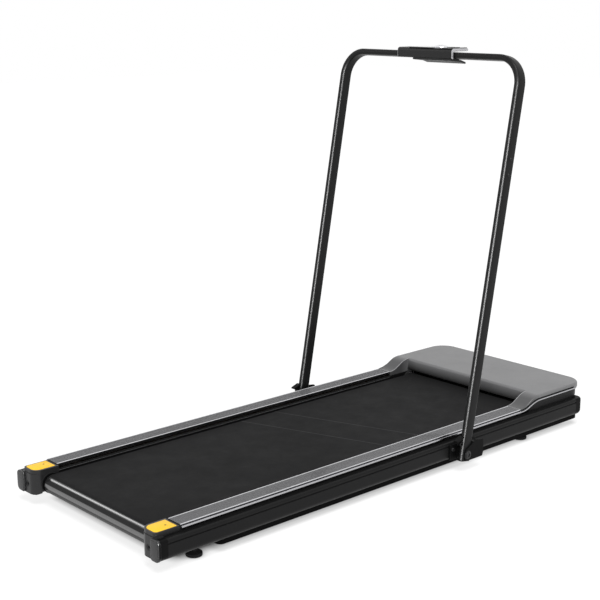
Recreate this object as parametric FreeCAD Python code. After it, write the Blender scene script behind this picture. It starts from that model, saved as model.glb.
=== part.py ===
import FreeCAD, Part
import math
import os

V = FreeCAD.Vector

# Millimetres. +X is forwards, +Y the walker's left, +Z up, the floor is at 0 under the middle of the base.
# The left half is drawn and mirrored to the right.

# Clearances
running_fit = 0.05
loose_fit = 0.3
seam = 0.3

# Base and side rails
base_length = 1512.0
base_width = 578.0
rail_width = 66.0
rail_underside = 29.0
rail_height = 51.0
rail_wall = 2.5
rail_edge_radius = 6.0
rail_belly_radius = 14.0
rail_foot_radius = 6.0
rail_inner_radius = 3.0
shoulder_width = 16.0
shoulder_drop = 2.0
groove_drop = 8.0
groove_height = 4.0
groove_depth = 2.0

# Foot strips and the bright edge trims
strip_height = 12.0
strip_inset = 1.0
strip_gap = 2.0
trim_setback = 14.0
trim_width = 4.0
trim_height = 3.0
trim_drop = 3.0
tongue_width = 11.0
tongue_thickness = 1.5

# Rear end caps and corner pads
cap_length = 71.0
cap_block_length = 24.0
cap_cheek = 7.0
cap_corner_radius = 22.0
cap_edge_radius = 8.0
cap_rise = 10.0
cap_shoulder = 21.0
cap_face_inset = 3.0
cap_groove_width = 1.0
cap_groove_depth = 5.0
pad_depth = 1.5
pad_thickness = 2.2
pad_border = 3.0
pad_rear_border = 4.0
pad_front_border = 6.0
pad_screw_radius = 2.4

# Running belt, rollers and deck
belt_side_gap = 19.0
belt_thickness = 2.0
belt_drop = 15.0
roller_radius = 21.7
roller_wall = 3.0
roller_side_gap = 1.0
rear_roller_setback = 47.0
drive_roller_setback = 213.0
axle_radius = 6.0
axle_overhang = 35.0
bearing_radius = 14.0
bearing_width = 8.0
boss_radius = 25.0
boss_height = 7.0
boss_recess_radius = 21.5
boss_recess_depth = 10.0
tension_travel = 8.0
tension_bolt_radius = 4.0
tension_head_radius = 7.0
tension_head_height = 6.0
tension_head_depth = 10.0
tension_bolt_inset = 42.0
deck_thickness = 15.0
deck_side_gap = 4.0
deck_end_gap = 8.0
cushion_radius = 15.0
cushion_height = 3.7
cushion_inset = 60.0
cross_member_width = 40.0
cross_member_height = 22.0
cross_member_wall = 2.0
cross_member_count = 3
cross_member_end = 190.0

# Hood, casing and belly pan
hood_length = 289.0
hood_rise = 26.0
hood_wall = 3.0
hood_corner_radius = 54.0
hood_edge_radius = 6.0
hood_lip_setback = 213.0
hood_lip_gap = 9.5
hood_nose_lean = 4.0
hood_crease_radius = 7.0
ramp_length = 79.0
ramp_blend = 16.0
trim_rise = 18.0
trim_front_setback = 46.0
casing_inset = 2.0
casing_wall = 3.0
casing_rear_setback = 249.0
casing_floor = 20.0
bumper_length = 36.0
bumper_front_setback = 27.0
bumper_radius = 22.0
pan_bottom = 17.0
pan_wall = 2.5
pan_length = 1280.0
pan_inset = 11.0
pan_corner_radius = 14.0
pan_tab_length = 28.0
pan_tab_radius = 20.0
pan_belt_gap = 3.0

# Drive
motor_setback = 103.0
motor_height = 62.0
motor_radius = 36.0
motor_side_gap = 23.0
motor_length = 140.0
motor_wall = 6.0
rotor_radius = 24.0
shaft_radius = 5.0
roller_pulley_radius = 29.0
motor_pulley_radius = 12.0
pulley_width = 8.0
pulley_side_gap = 1.2
drive_belt_width = 7.0
drive_belt_thickness = 3.0
controller_length = 150.0
controller_width = 85.0
controller_height = 38.0
controller_side_gap = 33.0
controller_setback = 114.0

# Power inlet and rocker switch
inlet_side = 120.0
inlet_width = 60.0
inlet_height = 26.0
inlet_depth = 24.0
inlet_flange = 2.5
inlet_flange_border = 3.0
inlet_centre_height = 49.0
socket_width = 26.0
socket_height = 18.0
socket_depth = 18.5
socket_offset = 13.0
blade_length = 10.0
blade_spacing = 7.0
blade_width = 2.0
blade_height = 5.0
rocker_width = 17.4
rocker_height = 20.0
rocker_thickness = 8.0
rocker_tilt = 8.0
rocker_pin_radius = 1.5
rocker_offset = 17.0

# Feet and transport wheels
foot_radius = 19.0
foot_taper = 2.0
foot_disc_height = 8.0
foot_cone_height = 4.0
foot_stem_radius = 8.0
rear_foot_setback = 121.0
front_foot_setback = 263.0
foot_inset = 40.0
wheel_setback = 38.0
wheel_radius = 19.0
wheel_width = 18.0
wheel_hub_width = 20.0
wheel_lift = 2.0
wheel_side_gap = 23.0
wheel_axle_radius = 4.0
wheel_bracket_length = 30.0
wheel_bracket_leg = 3.0
wheel_bracket_rise = 4.0

# Handrail hoop
pivot_setback = 567.0
pivot_height = 46.0
pivot_radius = 6.0
pivot_head_radius = 9.5
pivot_head_height = 4.5
handrail_height = 1035.5
handrail_lean = 10.41
hinge_gap = 12.5
tube_depth = 34.0
tube_width = 16.0
tube_corner = 4.5
tube_wall = 1.5
bend_radius = 68.0
post_foot = 18.0
bow_leg_length = 201.0
crush_sleeve_radius = 9.0
joiner_length = 120.0
joiner_fit = 0.2
joiner_screw_spacing = 40.0
joiner_screw_radius = 2.0
joiner_head_radius = 4.5
joiner_head_height = 2.0
plug_flange = 2.0
plug_length = 5.0

# Hinge bracket on the rail
bracket_plate = 4.0
bracket_rear = 36.0
bracket_front = 62.0
bracket_low = 16.0
bracket_high = 26.0
barrel_radius = 15.0
barrel_gap = 0.6
cheek_thickness = 3.0
cheek_gap = 0.8
stop_top = 30.0
stop_low = 17.0
web_clear = 26.0
web_thickness = 7.0
bracket_screw_radius = 3.0
bracket_screw_head = 5.5

# Fold lever behind the foot of each post
lever_pin_back = 6.0
lever_pin_up = 27.0
lever_pin_radius = 2.5
lever_hub_radius = 5.0
lever_hub_width = 5.4
lever_width = 14.0
lever_reach = 24.0
lever_thickness = 5.0
lever_top = 48.0
lever_drop = 13.0
lug_thickness = 2.5

# Console
console_length = 190.8
console_back = 25.5
console_front = 38.5
console_arm = 7.6
console_depth = 26.0
console_cover_length = 153.0
console_cover_height = 2.0
console_floor = 1.6
console_wall = 4.0
console_edge_radius = 3.0
console_back_radius = 8.0
console_notch_radius = 4.0
jaw_thickness = 5.0
jaw_drop = 6.0
jaw_length = 134.0
jaw_side_gap = 2.4
display_length = 44.0
display_width = 40.0
display_glass = 1.5
display_edge = 6.0
button_radius = 21.5
button_dome = 4.0
button_skirt = 3.0
button_side = 30.0
button_forward = 6.5
key_length = 13.0
key_width = 20.0
key_rise = 0.8
key_side = 65.0
key_spacing = 18.0

# Derived levels and places
half_length = base_length / 2
half_width = base_width / 2
rear_x = -half_length
front_x = half_length
rail_inner = half_width - rail_width
rail_top = rail_underside + rail_height
strip_top = rail_top + strip_height
strip_inner = rail_inner + strip_inset
trim_outer = half_width - trim_setback
trim_inner = trim_outer - trim_width
rail_shoulder = rail_top - shoulder_drop
rail_step = half_width - shoulder_width
strip_outer = trim_inner - strip_gap
trim_top = strip_top - trim_drop
trim_low = trim_top - trim_height
cap_front = rear_x + cap_length
cap_face = rear_x + cap_face_inset
rail_rear = rear_x + cap_block_length
bumper_front = front_x - bumper_front_setback
rail_front = bumper_front - bumper_length
belt_top = strip_top - belt_drop
belt_inner_radius = roller_radius + loose_fit
belt_outer_radius = belt_inner_radius + belt_thickness
roller_z = belt_top - belt_outer_radius
rear_roller_x = rear_x + rear_roller_setback
drive_roller_x = front_x - drive_roller_setback
belt_half = rail_inner - belt_side_gap
roller_half = belt_half - roller_side_gap
axle_end = rail_inner + axle_overhang
tension_bolt_y = half_width - tension_bolt_inset
deck_top = belt_top - belt_thickness
deck_low = deck_top - deck_thickness
deck_half = belt_half - deck_side_gap
deck_rear = rear_roller_x + belt_inner_radius + deck_end_gap
deck_front = drive_roller_x - belt_inner_radius - deck_end_gap
member_top = deck_low - cushion_height
member_low = member_top - cross_member_height
hood_top = strip_top + hood_rise
hood_start = front_x - hood_length
hood_lip_x = front_x - hood_lip_setback
hood_lip_z = belt_top + hood_lip_gap
hood_half = trim_inner
casing_offset = hood_wall + casing_inset
casing_half = hood_half - casing_offset
casing_front = front_x - casing_offset
casing_rear = front_x - casing_rear_setback
casing_side = rail_inner - casing_inset
pan_front = rail_front
pan_rear = pan_front - pan_length
pan_half = half_width - pan_inset
pan_top = pan_bottom + pan_wall
motor_x = front_x - motor_setback
motor_end = rail_inner - motor_side_gap
motor_start = motor_end - motor_length
pulley_start = belt_half + pulley_side_gap
pulley_end = pulley_start + pulley_width
inlet_face = casing_front + inlet_flange
inlet_rear = casing_front - inlet_depth
rocker_x = inlet_face - rocker_thickness / 2
rocker_y = rocker_offset - inlet_side
wheel_x = front_x - wheel_setback
wheel_z = wheel_radius + wheel_lift
wheel_side = rail_inner - wheel_side_gap
pivot_x = front_x - pivot_setback
tube_inner_y = half_width + hinge_gap
tube_y = tube_inner_y + tube_width / 2
tube_outer_y = tube_inner_y + tube_width
lean_sin = math.sin(math.radians(handrail_lean))
lean_cos = math.cos(math.radians(handrail_lean))
hoop_height = (handrail_height - pivot_height) / lean_cos
split_height = hoop_height - bend_radius - bow_leg_length
cheek_inner = tube_outer_y + cheek_gap
cheek_outer = cheek_inner + cheek_thickness
lug_gap = (lever_width - lever_hub_width) / 2
bar_x = pivot_x + hoop_height * lean_sin
bar_z = handrail_height


def block(x0, x1, y0, y1, z0, z1):
    return Part.makeBox(x1 - x0, y1 - y0, z1 - z0, V(x0, y0, z0))


def rod_x(y, z, radius, x0, x1):
    return Part.makeCylinder(radius, x1 - x0, V(x0, y, z), V(1, 0, 0))


def rod_y(x, z, radius, y0, y1):
    return Part.makeCylinder(radius, y1 - y0, V(x, y0, z), V(0, 1, 0))


def rod_z(x, y, radius, z0, z1):
    return Part.makeCylinder(radius, z1 - z0, V(x, y, z0), V(0, 0, 1))


def in_plane(plane, a, b, level):
    places = {"xy": V(a, b, level), "xz": V(a, level, b), "yz": V(level, a, b)}
    return places[plane]


def outline(points, plane, level):
    """Closed wire through (a, b) corners; a third number rounds that corner with an arc."""
    corners = []
    for i, point in enumerate(points):
        radius = point[2] if len(point) > 2 else 0.0
        here = V(point[0], point[1], 0)
        before = V(points[i - 1][0], points[i - 1][1], 0) - here
        after = V(points[(i + 1) % len(points)][0], points[(i + 1) % len(points)][1], 0) - here
        before.normalize()
        after.normalize()
        if radius == 0:
            corners.append([here])
            continue
        half_angle = before.getAngle(after) / 2
        reach = radius / math.tan(half_angle)
        bisector = before + after
        bisector.normalize()
        crown = here + bisector * (radius / math.sin(half_angle) - radius)
        corners.append([here + before * reach, crown, here + after * reach])
    edges = []
    for i, corner in enumerate(corners):
        placed = [in_plane(plane, p.x, p.y, level) for p in corner]
        if len(placed) == 3:
            edges.append(Part.Arc(*placed).toShape())
        following = corners[(i + 1) % len(corners)][0]
        end = in_plane(plane, following.x, following.y, level)
        if placed[-1].distanceToPoint(end) > 1e-6:
            edges.append(Part.makeLine(placed[-1], end))
    return Part.Wire(edges)


def prism(points, plane, start, end):
    face = Part.Face(outline(points, plane, start))
    return face.extrude(in_plane(plane, 0, 0, end - start))


def rectangle(a0, a1, b0, b1, radius):
    return [(a0, b0, radius), (a1, b0, radius), (a1, b1, radius), (a0, b1, radius)]


def loop_prism(x1, radius1, z1, x2, radius2, z2, y0, y1):
    """Solid inside a belt line round two wheels."""
    heading = math.atan2(z2 - z1, x2 - x1)
    spread = math.acos((radius1 - radius2) / math.hypot(x2 - x1, z2 - z1))

    def on_wheel(x, z, radius, angle):
        return V(x + radius * math.cos(angle), y0, z + radius * math.sin(angle))

    upper1 = on_wheel(x1, z1, radius1, heading + spread)
    upper2 = on_wheel(x2, z2, radius2, heading + spread)
    lower1 = on_wheel(x1, z1, radius1, heading - spread)
    lower2 = on_wheel(x2, z2, radius2, heading - spread)
    far1 = on_wheel(x1, z1, radius1, heading + math.pi)
    far2 = on_wheel(x2, z2, radius2, heading)
    edges = [
        Part.makeLine(upper1, upper2),
        Part.Arc(upper2, far2, lower2).toShape(),
        Part.makeLine(lower2, lower1),
        Part.Arc(lower1, far1, upper1).toShape(),
    ]
    return Part.Face(Part.Wire(edges)).extrude(V(0, y1 - y0, 0))


def mirrored(shape):
    return shape.mirror(V(0, 0, 0), V(0, 1, 0))


def fuse_all(shapes):
    return shapes[0].multiFuse(shapes[1:]).removeSplitter()


def save(name, *shapes):
    solids = [solid for shape in shapes for solid in shape.Solids]
    whole = solids[0] if len(solids) == 1 else Part.makeCompound(solids)
    whole.exportStep(os.path.join("parts", name + ".step"))


def save_pair(name, left):
    save(name + "_L", left)
    save(name + "_R", mirrored(left))


def save_both(name, left):
    save(name, left, mirrored(left))


def climbing_line(level, rise, reverse=False):
    """Two rounded corners of a line that climbs from the strip level onto the hood."""
    slope = math.atan2(rise, ramp_length - 2 * ramp_blend)
    radius = ramp_blend / math.tan(slope / 2)
    corners = [
        (hood_start + ramp_blend, level, radius),
        (hood_start + ramp_length - ramp_blend, level + rise, radius),
    ]
    return corners[::-1] if reverse else corners


def bracket_screw_places():
    low = pivot_height - bracket_low / 2
    high = pivot_height + bracket_high / 2
    rear = pivot_x - bracket_rear + 2 * bracket_screw_head
    front = pivot_x + bracket_front - 2 * bracket_screw_head
    return [(rear, high), (front, high), (front, low)]


def side_rail():
    def section(wall, groove):
        """Rail profile set in by a wall; the groove is a list of corners up the outer side."""
        inner = rail_inner + wall
        outer = half_width - wall - (0 if groove else groove_depth)
        low, shoulder, top = rail_underside + wall, rail_shoulder - wall, rail_top - wall
        corners = [(inner, low, rail_foot_radius - wall), (outer, low, rail_belly_radius - wall)]
        corners += groove
        corners += [(outer, shoulder, rail_edge_radius - wall), (rail_step - wall, shoulder)]
        corners += [(rail_step - wall, top), (inner, top, rail_inner_radius - wall)]
        return prism(corners, "yz", rail_rear, rail_front)

    groove_top = rail_shoulder - groove_drop
    groove_low = groove_top - groove_height
    groove_floor = half_width - groove_depth
    groove = [
        (half_width, groove_low),
        (groove_floor, groove_low),
        (groove_floor, groove_top),
        (half_width, groove_top),
    ]
    rail = section(0, groove).cut(section(rail_wall, []))
    inner_wall = (rail_inner - 1, rail_inner + rail_wall + 1)
    slot_radius = axle_radius + loose_fit
    slot = prism(
        rectangle(
            rear_roller_x - tension_travel - slot_radius,
            rear_roller_x + tension_travel + slot_radius,
            roller_z - slot_radius,
            roller_z + slot_radius,
            slot_radius * 0.98,
        ),
        "xz",
        *inner_wall,
    )
    axle_hole = rod_y(drive_roller_x, roller_z, axle_radius + running_fit, *inner_wall)
    holes = [slot, axle_hole]
    for x, z in bracket_screw_places():
        outer_wall = (half_width - rail_wall - rail_belly_radius, half_width + 1)
        holes.append(rod_y(x, z, bracket_screw_radius + running_fit, *outer_wall))
    save_pair("side_rail", rail.cut(holes))


def foot_strip():
    step = trim_low + tongue_thickness
    tongue_start = trim_inner - tongue_width
    section = [
        (strip_inner, rail_top),
        (tongue_start, rail_top),
        (tongue_start, step),
        (strip_outer, step),
        (strip_outer, strip_top, 0.8),
        (strip_inner, strip_top, 0.8),
    ]
    save_pair("foot_strip", prism(section, "yz", cap_front + seam, hood_start - seam))


def edge_trim():
    end = front_x - trim_front_setback
    start = cap_front + seam
    side = [(start, trim_top)]
    side += climbing_line(trim_top, trim_rise)
    side += [(end, trim_top + trim_rise), (end, trim_low + trim_rise)]
    side += climbing_line(trim_low, trim_rise, reverse=True)
    side += [(start, trim_low)]
    lip = prism(side, "xz", trim_inner, trim_outer)
    tongue = block(
        start,
        hood_start - seam,
        trim_inner - tongue_width,
        trim_inner,
        trim_low,
        trim_low + tongue_thickness,
    )
    save_pair("edge_trim", lip.fuse(tongue).removeSplitter())


def pad_plan(grow):
    inner = rail_inner - cap_cheek + 2 * pad_border - grow
    outer = half_width - cap_shoulder - pad_border + grow
    rear = cap_face + pad_depth + pad_rear_border - grow
    front = cap_front - pad_front_border + grow
    round_inner = cap_corner_radius - 2 * pad_border + grow
    return [(rear, inner, round_inner), (front, inner), (front, outer), (rear, outer, cap_edge_radius)]


def rear_end_cap():
    cap_inner = rail_inner - cap_cheek
    cap_top = rail_top + cap_rise
    inside_section = [
        (cap_inner, rail_underside, rail_foot_radius),
        (rail_step, rail_underside),
        (rail_step, rail_top),
        (cap_inner, rail_top),
    ]
    inside_plan = [
        (cap_face, cap_inner, cap_corner_radius),
        (cap_front, cap_inner),
        (cap_front, rail_step),
        (cap_face, rail_step),
    ]
    inside = prism(inside_plan, "xy", rail_underside, rail_top)
    inside = inside.common(prism(inside_section, "yz", rear_x, rail_rear))
    plug_plan = [
        (rear_x, rail_step),
        (rail_rear, rail_step),
        (rail_rear, half_width),
        (rear_x, half_width, cap_edge_radius),
    ]
    plug_side = [
        (rear_x, rail_underside, cap_edge_radius),
        (rail_rear, rail_underside),
        (rail_rear, rail_shoulder),
        (rear_x, rail_shoulder, cap_edge_radius),
    ]
    plug_section = [
        (rail_step, rail_underside),
        (half_width, rail_underside, rail_belly_radius),
        (half_width, rail_shoulder, rail_edge_radius),
        (rail_step, rail_shoulder),
    ]
    plug = prism(plug_plan, "xy", rail_underside, rail_shoulder)
    plug = plug.common(prism(plug_section, "yz", rear_x, rail_rear))
    plug = plug.common(prism(plug_side, "xz", rail_step, half_width))
    groove = block(
        rear_x - 1,
        rear_x + cap_groove_depth,
        rail_step - cap_groove_width,
        rail_step,
        rail_underside - 1,
        rail_top,
    )
    top_plan = [
        (cap_face + pad_depth, cap_inner, cap_corner_radius),
        (cap_front, cap_inner),
        (cap_front, half_width - cap_shoulder),
        (cap_face + pad_depth, half_width - cap_shoulder, cap_edge_radius),
    ]
    top_block = prism(top_plan, "xy", rail_top, cap_top)
    cheek = block(rail_rear, cap_front, cap_inner, rail_inner, rail_underside + rail_foot_radius, rail_top)
    boss = rod_y(rear_roller_x, roller_z, boss_radius, cap_inner - boss_height, cap_inner + 1)
    boss = boss.common(block(rear_x, cap_front, 0, half_width, rail_underside, cap_top))
    cap = fuse_all([inside.cut(groove), plug, top_block, cheek, boss])
    axle_slot = block(
        rear_roller_x - tension_travel - axle_radius,
        rear_roller_x + tension_travel + axle_radius,
        cap_inner - boss_height - 1,
        rail_inner + 1,
        roller_z - axle_radius - loose_fit,
        roller_z + axle_radius + loose_fit,
    )
    boss_end = cap_inner - boss_height
    recess = rod_y(rear_roller_x, roller_z, boss_recess_radius, boss_end - 1, boss_end + boss_recess_depth)
    bolt_bore = rod_x(tension_bolt_y, roller_z, tension_bolt_radius + loose_fit, rear_x - 1, rail_rear + 1)
    head_bore = rod_x(
        tension_bolt_y,
        roller_z,
        tension_head_radius + loose_fit,
        rear_x - 1,
        rear_x + tension_head_depth,
    )
    pad_seat = prism(pad_plan(loose_fit), "xy", cap_top - pad_depth, cap_top + 1)
    screw_bore = rod_z(*pad_screw_place(), pad_screw_radius / 2, rail_top + 1, cap_top)
    save_pair("rear_end_cap", cap.cut([axle_slot, recess, bolt_bore, head_bore, pad_seat, screw_bore]))


def pad_screw_place():
    return rear_x + cap_block_length * 2, tension_bolt_y


def corner_pad():
    low = rail_top + cap_rise - pad_depth
    pad = prism(pad_plan(0), "xy", low, low + pad_thickness)
    x, y = pad_screw_place()
    head_seat = rod_z(x, y, pad_screw_radius + running_fit, low + pad_thickness / 2, low + pad_thickness + 1)
    shank_hole = rod_z(x, y, pad_screw_radius / 2, low - 1, low + pad_thickness)
    save_pair("corner_pad", pad.cut([head_seat, shank_hole]))
    head = rod_z(x, y, pad_screw_radius, low + pad_thickness / 2, low + pad_thickness)
    shank = rod_z(x, y, pad_screw_radius / 2, rail_top + 1, low + pad_thickness / 2)
    save_both("pad_screws", head.fuse(shank))


def roller(x, hub_end):
    body = rod_y(x, roller_z, roller_radius, -roller_half, roller_half)
    seat_bore = rod_y(x, roller_z, bearing_radius, -roller_half - 1, roller_half)
    web_start = roller_half - bearing_width
    core = rod_y(x, roller_z, roller_radius - roller_wall, -web_start + bearing_width, web_start - bearing_width)
    shaft_bore = rod_y(x, roller_z, axle_radius + loose_fit, roller_half - 1, hub_end + 1)
    body = body.cut([seat_bore, core])
    if hub_end == roller_half:
        return body
    hub = rod_y(x, roller_z, roller_radius - roller_wall, roller_half, hub_end)
    return fuse_all([body, hub.cut(shaft_bore)])


def bearings(x):
    ring = rod_y(x, roller_z, bearing_radius, roller_half - bearing_width, roller_half)
    return ring.cut(rod_y(x, roller_z, axle_radius + running_fit, 0, roller_half + 1))


def rear_roller():
    save("rear_roller", roller(rear_roller_x, roller_half))
    save_both("rear_bearings", bearings(rear_roller_x))
    axle = rod_y(rear_roller_x, roller_z, axle_radius, -axle_end, axle_end)
    bolt_reach = rear_roller_x + axle_radius + tension_travel
    head_start = rear_x + tension_head_depth - tension_head_height
    shank = rod_x(tension_bolt_y, roller_z, tension_bolt_radius, head_start, bolt_reach)
    head = rod_x(tension_bolt_y, roller_z, tension_head_radius, head_start, rear_x + tension_head_depth)
    hex_socket = prism(
        [
            (
                tension_bolt_y + tension_bolt_radius * math.cos(math.radians(60 * i)),
                roller_z + tension_bolt_radius * math.sin(math.radians(60 * i)),
            )
            for i in range(6)
        ],
        "yz",
        head_start - 1,
        head_start + tension_head_height / 2,
    )
    save_both("tension_bolts", head.fuse(shank).cut(hex_socket))
    bolt_hole = rod_x(
        tension_bolt_y,
        roller_z,
        tension_bolt_radius + running_fit,
        rear_roller_x - 2 * axle_radius,
        rear_roller_x + 2 * axle_radius,
    )
    save("rear_axle", axle.cut([bolt_hole, mirrored(bolt_hole)]))


def drive_roller():
    save("front_roller", roller(drive_roller_x, pulley_start))
    save_both("front_bearings", bearings(drive_roller_x))
    save("front_axle", rod_y(drive_roller_x, roller_z, axle_radius, -axle_end, axle_end))
    pulley = rod_y(drive_roller_x, roller_z, roller_pulley_radius, pulley_start, pulley_end)
    bore = rod_y(drive_roller_x, roller_z, axle_radius + loose_fit, pulley_start - 1, pulley_end + 1)
    save("roller_pulley", pulley.cut(bore))


def running_belt():
    def loop(radius, half):
        return loop_prism(rear_roller_x, radius, roller_z, drive_roller_x, radius, roller_z, -half, half)

    save("running_belt", loop(belt_outer_radius, belt_half).cut(loop(belt_inner_radius, belt_half + 1)))


def member_places():
    first = deck_rear + cross_member_end
    last = deck_front - cross_member_end
    step = (last - first) / (cross_member_count - 1)
    return [first + step * i for i in range(cross_member_count)]


def deck():
    save("running_deck", block(deck_rear, deck_front, -deck_half, deck_half, deck_low, deck_top))
    members = []
    cushions = []
    half = cross_member_width / 2
    wall = cross_member_wall
    for x in member_places():
        bar = block(x - half, x + half, -rail_inner, rail_inner, member_low, member_top)
        inside = block(
            x - half + wall,
            x + half - wall,
            -rail_inner - 1,
            rail_inner + 1,
            member_low + wall,
            member_top - wall,
        )
        members.append(bar.cut(inside))
        cushions.append(rod_z(x, deck_half - cushion_inset, cushion_radius, member_top, deck_low))
    save("cross_members", *members)
    save("deck_cushions", *cushions, *[mirrored(cushion) for cushion in cushions])


def hood_plan(inset, rear):
    half = hood_half - inset
    front = front_x - inset
    radius = hood_corner_radius - inset
    return [(rear, -half), (front, -half, radius), (front, half, radius), (rear, half)]


def ramp_side(inset, low, rear):
    side = [(rear, low), (rear, strip_top - inset)]
    side += climbing_line(strip_top - inset, hood_rise)
    side += [(front_x + 1, hood_top - inset), (front_x + 1, low)]
    return side


def nose_side(inset, low, front):
    top = hood_top - inset
    return [
        (hood_lip_x + inset, low),
        (hood_lip_x + hood_nose_lean + inset, top, hood_crease_radius - inset),
        (front, top),
        (front, low),
    ]


def hood_blocks(inset, low, rear, ramp_inset):
    half = hood_half - inset
    nose = prism(nose_side(inset, low, front_x), "xz", -rail_inner - 1, rail_inner + 1)
    ramp = prism(ramp_side(inset, rail_top, rear), "xz", rail_inner + ramp_inset, half)
    whole = fuse_all([nose, ramp, mirrored(ramp)])
    return whole.common(prism(hood_plan(inset, rear), "xy", rail_top, hood_top))


def hood_panel():
    outer = hood_blocks(0, hood_lip_z, hood_start, 0)
    rim = []
    for edge in outer.Edges:
        box = edge.BoundBox
        on_side = abs(abs(box.YMin) - hood_half) < 0.1 and abs(box.YMin - box.YMax) < 0.1
        on_front = abs(box.XMax - front_x) < 0.1
        if box.ZMin > strip_top - 0.1 and (on_side or on_front) and box.XMin > hood_start + 0.1:
            rim.append(edge)
    outer = outer.makeFillet(hood_edge_radius, rim)
    inner = hood_blocks(hood_wall, hood_lip_z - 1, hood_start + hood_wall, hood_wall)
    skirt_end = hood_start + ramp_length + ramp_blend
    beyond = block(skirt_end, casing_front, -rail_inner - hood_wall - 1, rail_inner + hood_wall + 1, rail_top - 1,
                   hood_top - hood_wall)
    shell = outer.cut([inner, beyond])
    below_trim = [(hood_start - 1, rail_top - 1), (hood_start - 1, trim_low)]
    below_trim += climbing_line(trim_low, trim_rise)
    below_trim += [(front_x + 1, trim_low + trim_rise), (front_x + 1, rail_top - 1)]
    under = prism(below_trim, "xz", -half_width, half_width)
    rim_zone = prism(hood_plan(-1, hood_start - 1), "xy", rail_top - 1, hood_top)
    rim_zone = rim_zone.cut(prism(hood_plan(hood_wall + 0.01, hood_start - 2), "xy", rail_top - 2, hood_top + 1))
    save("hood_panel", shell.cut(under.common(rim_zone)))


def front_casing():
    def wall_plan(inset, rear):
        half = casing_half - inset
        front = casing_front - inset
        radius = hood_corner_radius - casing_offset - inset
        return [(rear, -half), (front, -half, radius), (front, half, radius), (rear, half)]

    under_hood = [(hood_start, rail_top), (hood_start, strip_top - hood_wall - loose_fit)]
    under_hood += climbing_line(strip_top - hood_wall - loose_fit, hood_rise + loose_fit)
    under_hood += [(front_x, hood_top - hood_wall), (front_x, rail_top)]
    ring = prism(wall_plan(0, casing_rear), "xy", rail_top, hood_top - hood_wall)
    ring = ring.cut(prism(wall_plan(casing_wall, casing_rear - 1), "xy", rail_top - 1, hood_top))
    ring = ring.common(prism(under_hood, "xz", -half_width, half_width))
    shelf = prism(wall_plan(0, rail_front), "xy", rail_top, rail_top + casing_wall)
    shelf = shelf.cut(block(rail_front - 1, casing_front, -casing_side + casing_wall, casing_side - casing_wall,
                            rail_top - 1, hood_top))
    tub = prism(rectangle(pan_front, casing_front, -casing_side, casing_side, 0), "xy", casing_floor, rail_top)
    room = block(
        pan_front - 1,
        casing_front - casing_wall,
        -casing_side + casing_wall,
        casing_side - casing_wall,
        casing_floor + casing_wall,
        rail_top + casing_wall + 1,
    )
    casing = fuse_all([ring, shelf, tub.cut(room)])
    opening = block(
        casing_front - casing_wall - 1,
        casing_front + 1,
        -inlet_side - inlet_width / 2,
        -inlet_side + inlet_width / 2,
        inlet_centre_height - inlet_height / 2,
        inlet_centre_height + inlet_height / 2,
    )
    well = block(
        wheel_x - wheel_radius - wheel_bracket_leg,
        wheel_x + wheel_radius + wheel_bracket_leg,
        wheel_side - wheel_hub_width,
        casing_side - casing_wall,
        casing_floor - 1,
        casing_floor + casing_wall + 1,
    )
    save("front_casing", casing.cut([opening, well, mirrored(well)]))


def front_bumper():
    inner = casing_side + casing_inset
    plan = [
        (rail_front, inner),
        (bumper_front, inner),
        (bumper_front, half_width, bumper_radius),
        (rail_front, half_width),
    ]
    body = prism(plan, "xy", rail_underside, rail_shoulder)
    for level, radius in ((rail_shoulder, rail_edge_radius), (rail_underside, rail_belly_radius)):
        rims = []
        for edge in body.Edges:
            box = edge.BoundBox
            level_edge = abs(box.ZMin - level) < 0.1 and abs(box.ZMax - level) < 0.1
            if level_edge and box.XMax > rail_front + 0.1 and box.YMax > inner + 0.1:
                rims.append(edge)
        body = body.makeFillet(radius, rims)
    ledge_front = bumper_front - shoulder_width
    ledge = [
        (rail_front, inner),
        (ledge_front, inner),
        (ledge_front, rail_step, bumper_radius - shoulder_width),
        (rail_front, rail_step),
    ]
    save_pair("front_bumper", body.fuse(prism(ledge, "xy", rail_shoulder, rail_top)).removeSplitter())


def belly_pan():
    def plan(inset):
        rear, front = pan_rear + inset, pan_front - inset
        half = pan_half - inset
        corner = pan_corner_radius - inset
        return [(rear, -half, corner), (front, -half), (front, half), (rear, half, corner)]

    tray = prism(plan(0), "xy", pan_bottom, rail_underside)
    tray = tray.cut(prism(plan(pan_wall), "xy", pan_top, rail_underside + 1))
    tab_front = pan_front + pan_tab_length
    tab_plan = [
        (pan_front, rail_inner),
        (tab_front, rail_inner),
        (tab_front, pan_half, pan_tab_radius),
        (pan_front, pan_half),
    ]
    tab = prism(tab_plan, "xy", pan_bottom, rail_underside)
    belt_room = block(
        pan_rear - 1,
        pan_front + 1,
        -rail_inner,
        rail_inner,
        rail_underside - pan_belt_gap,
        rail_underside + 1,
    )
    save("belly_pan", fuse_all([tray, tab, mirrored(tab)]).cut(belt_room))


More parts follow.
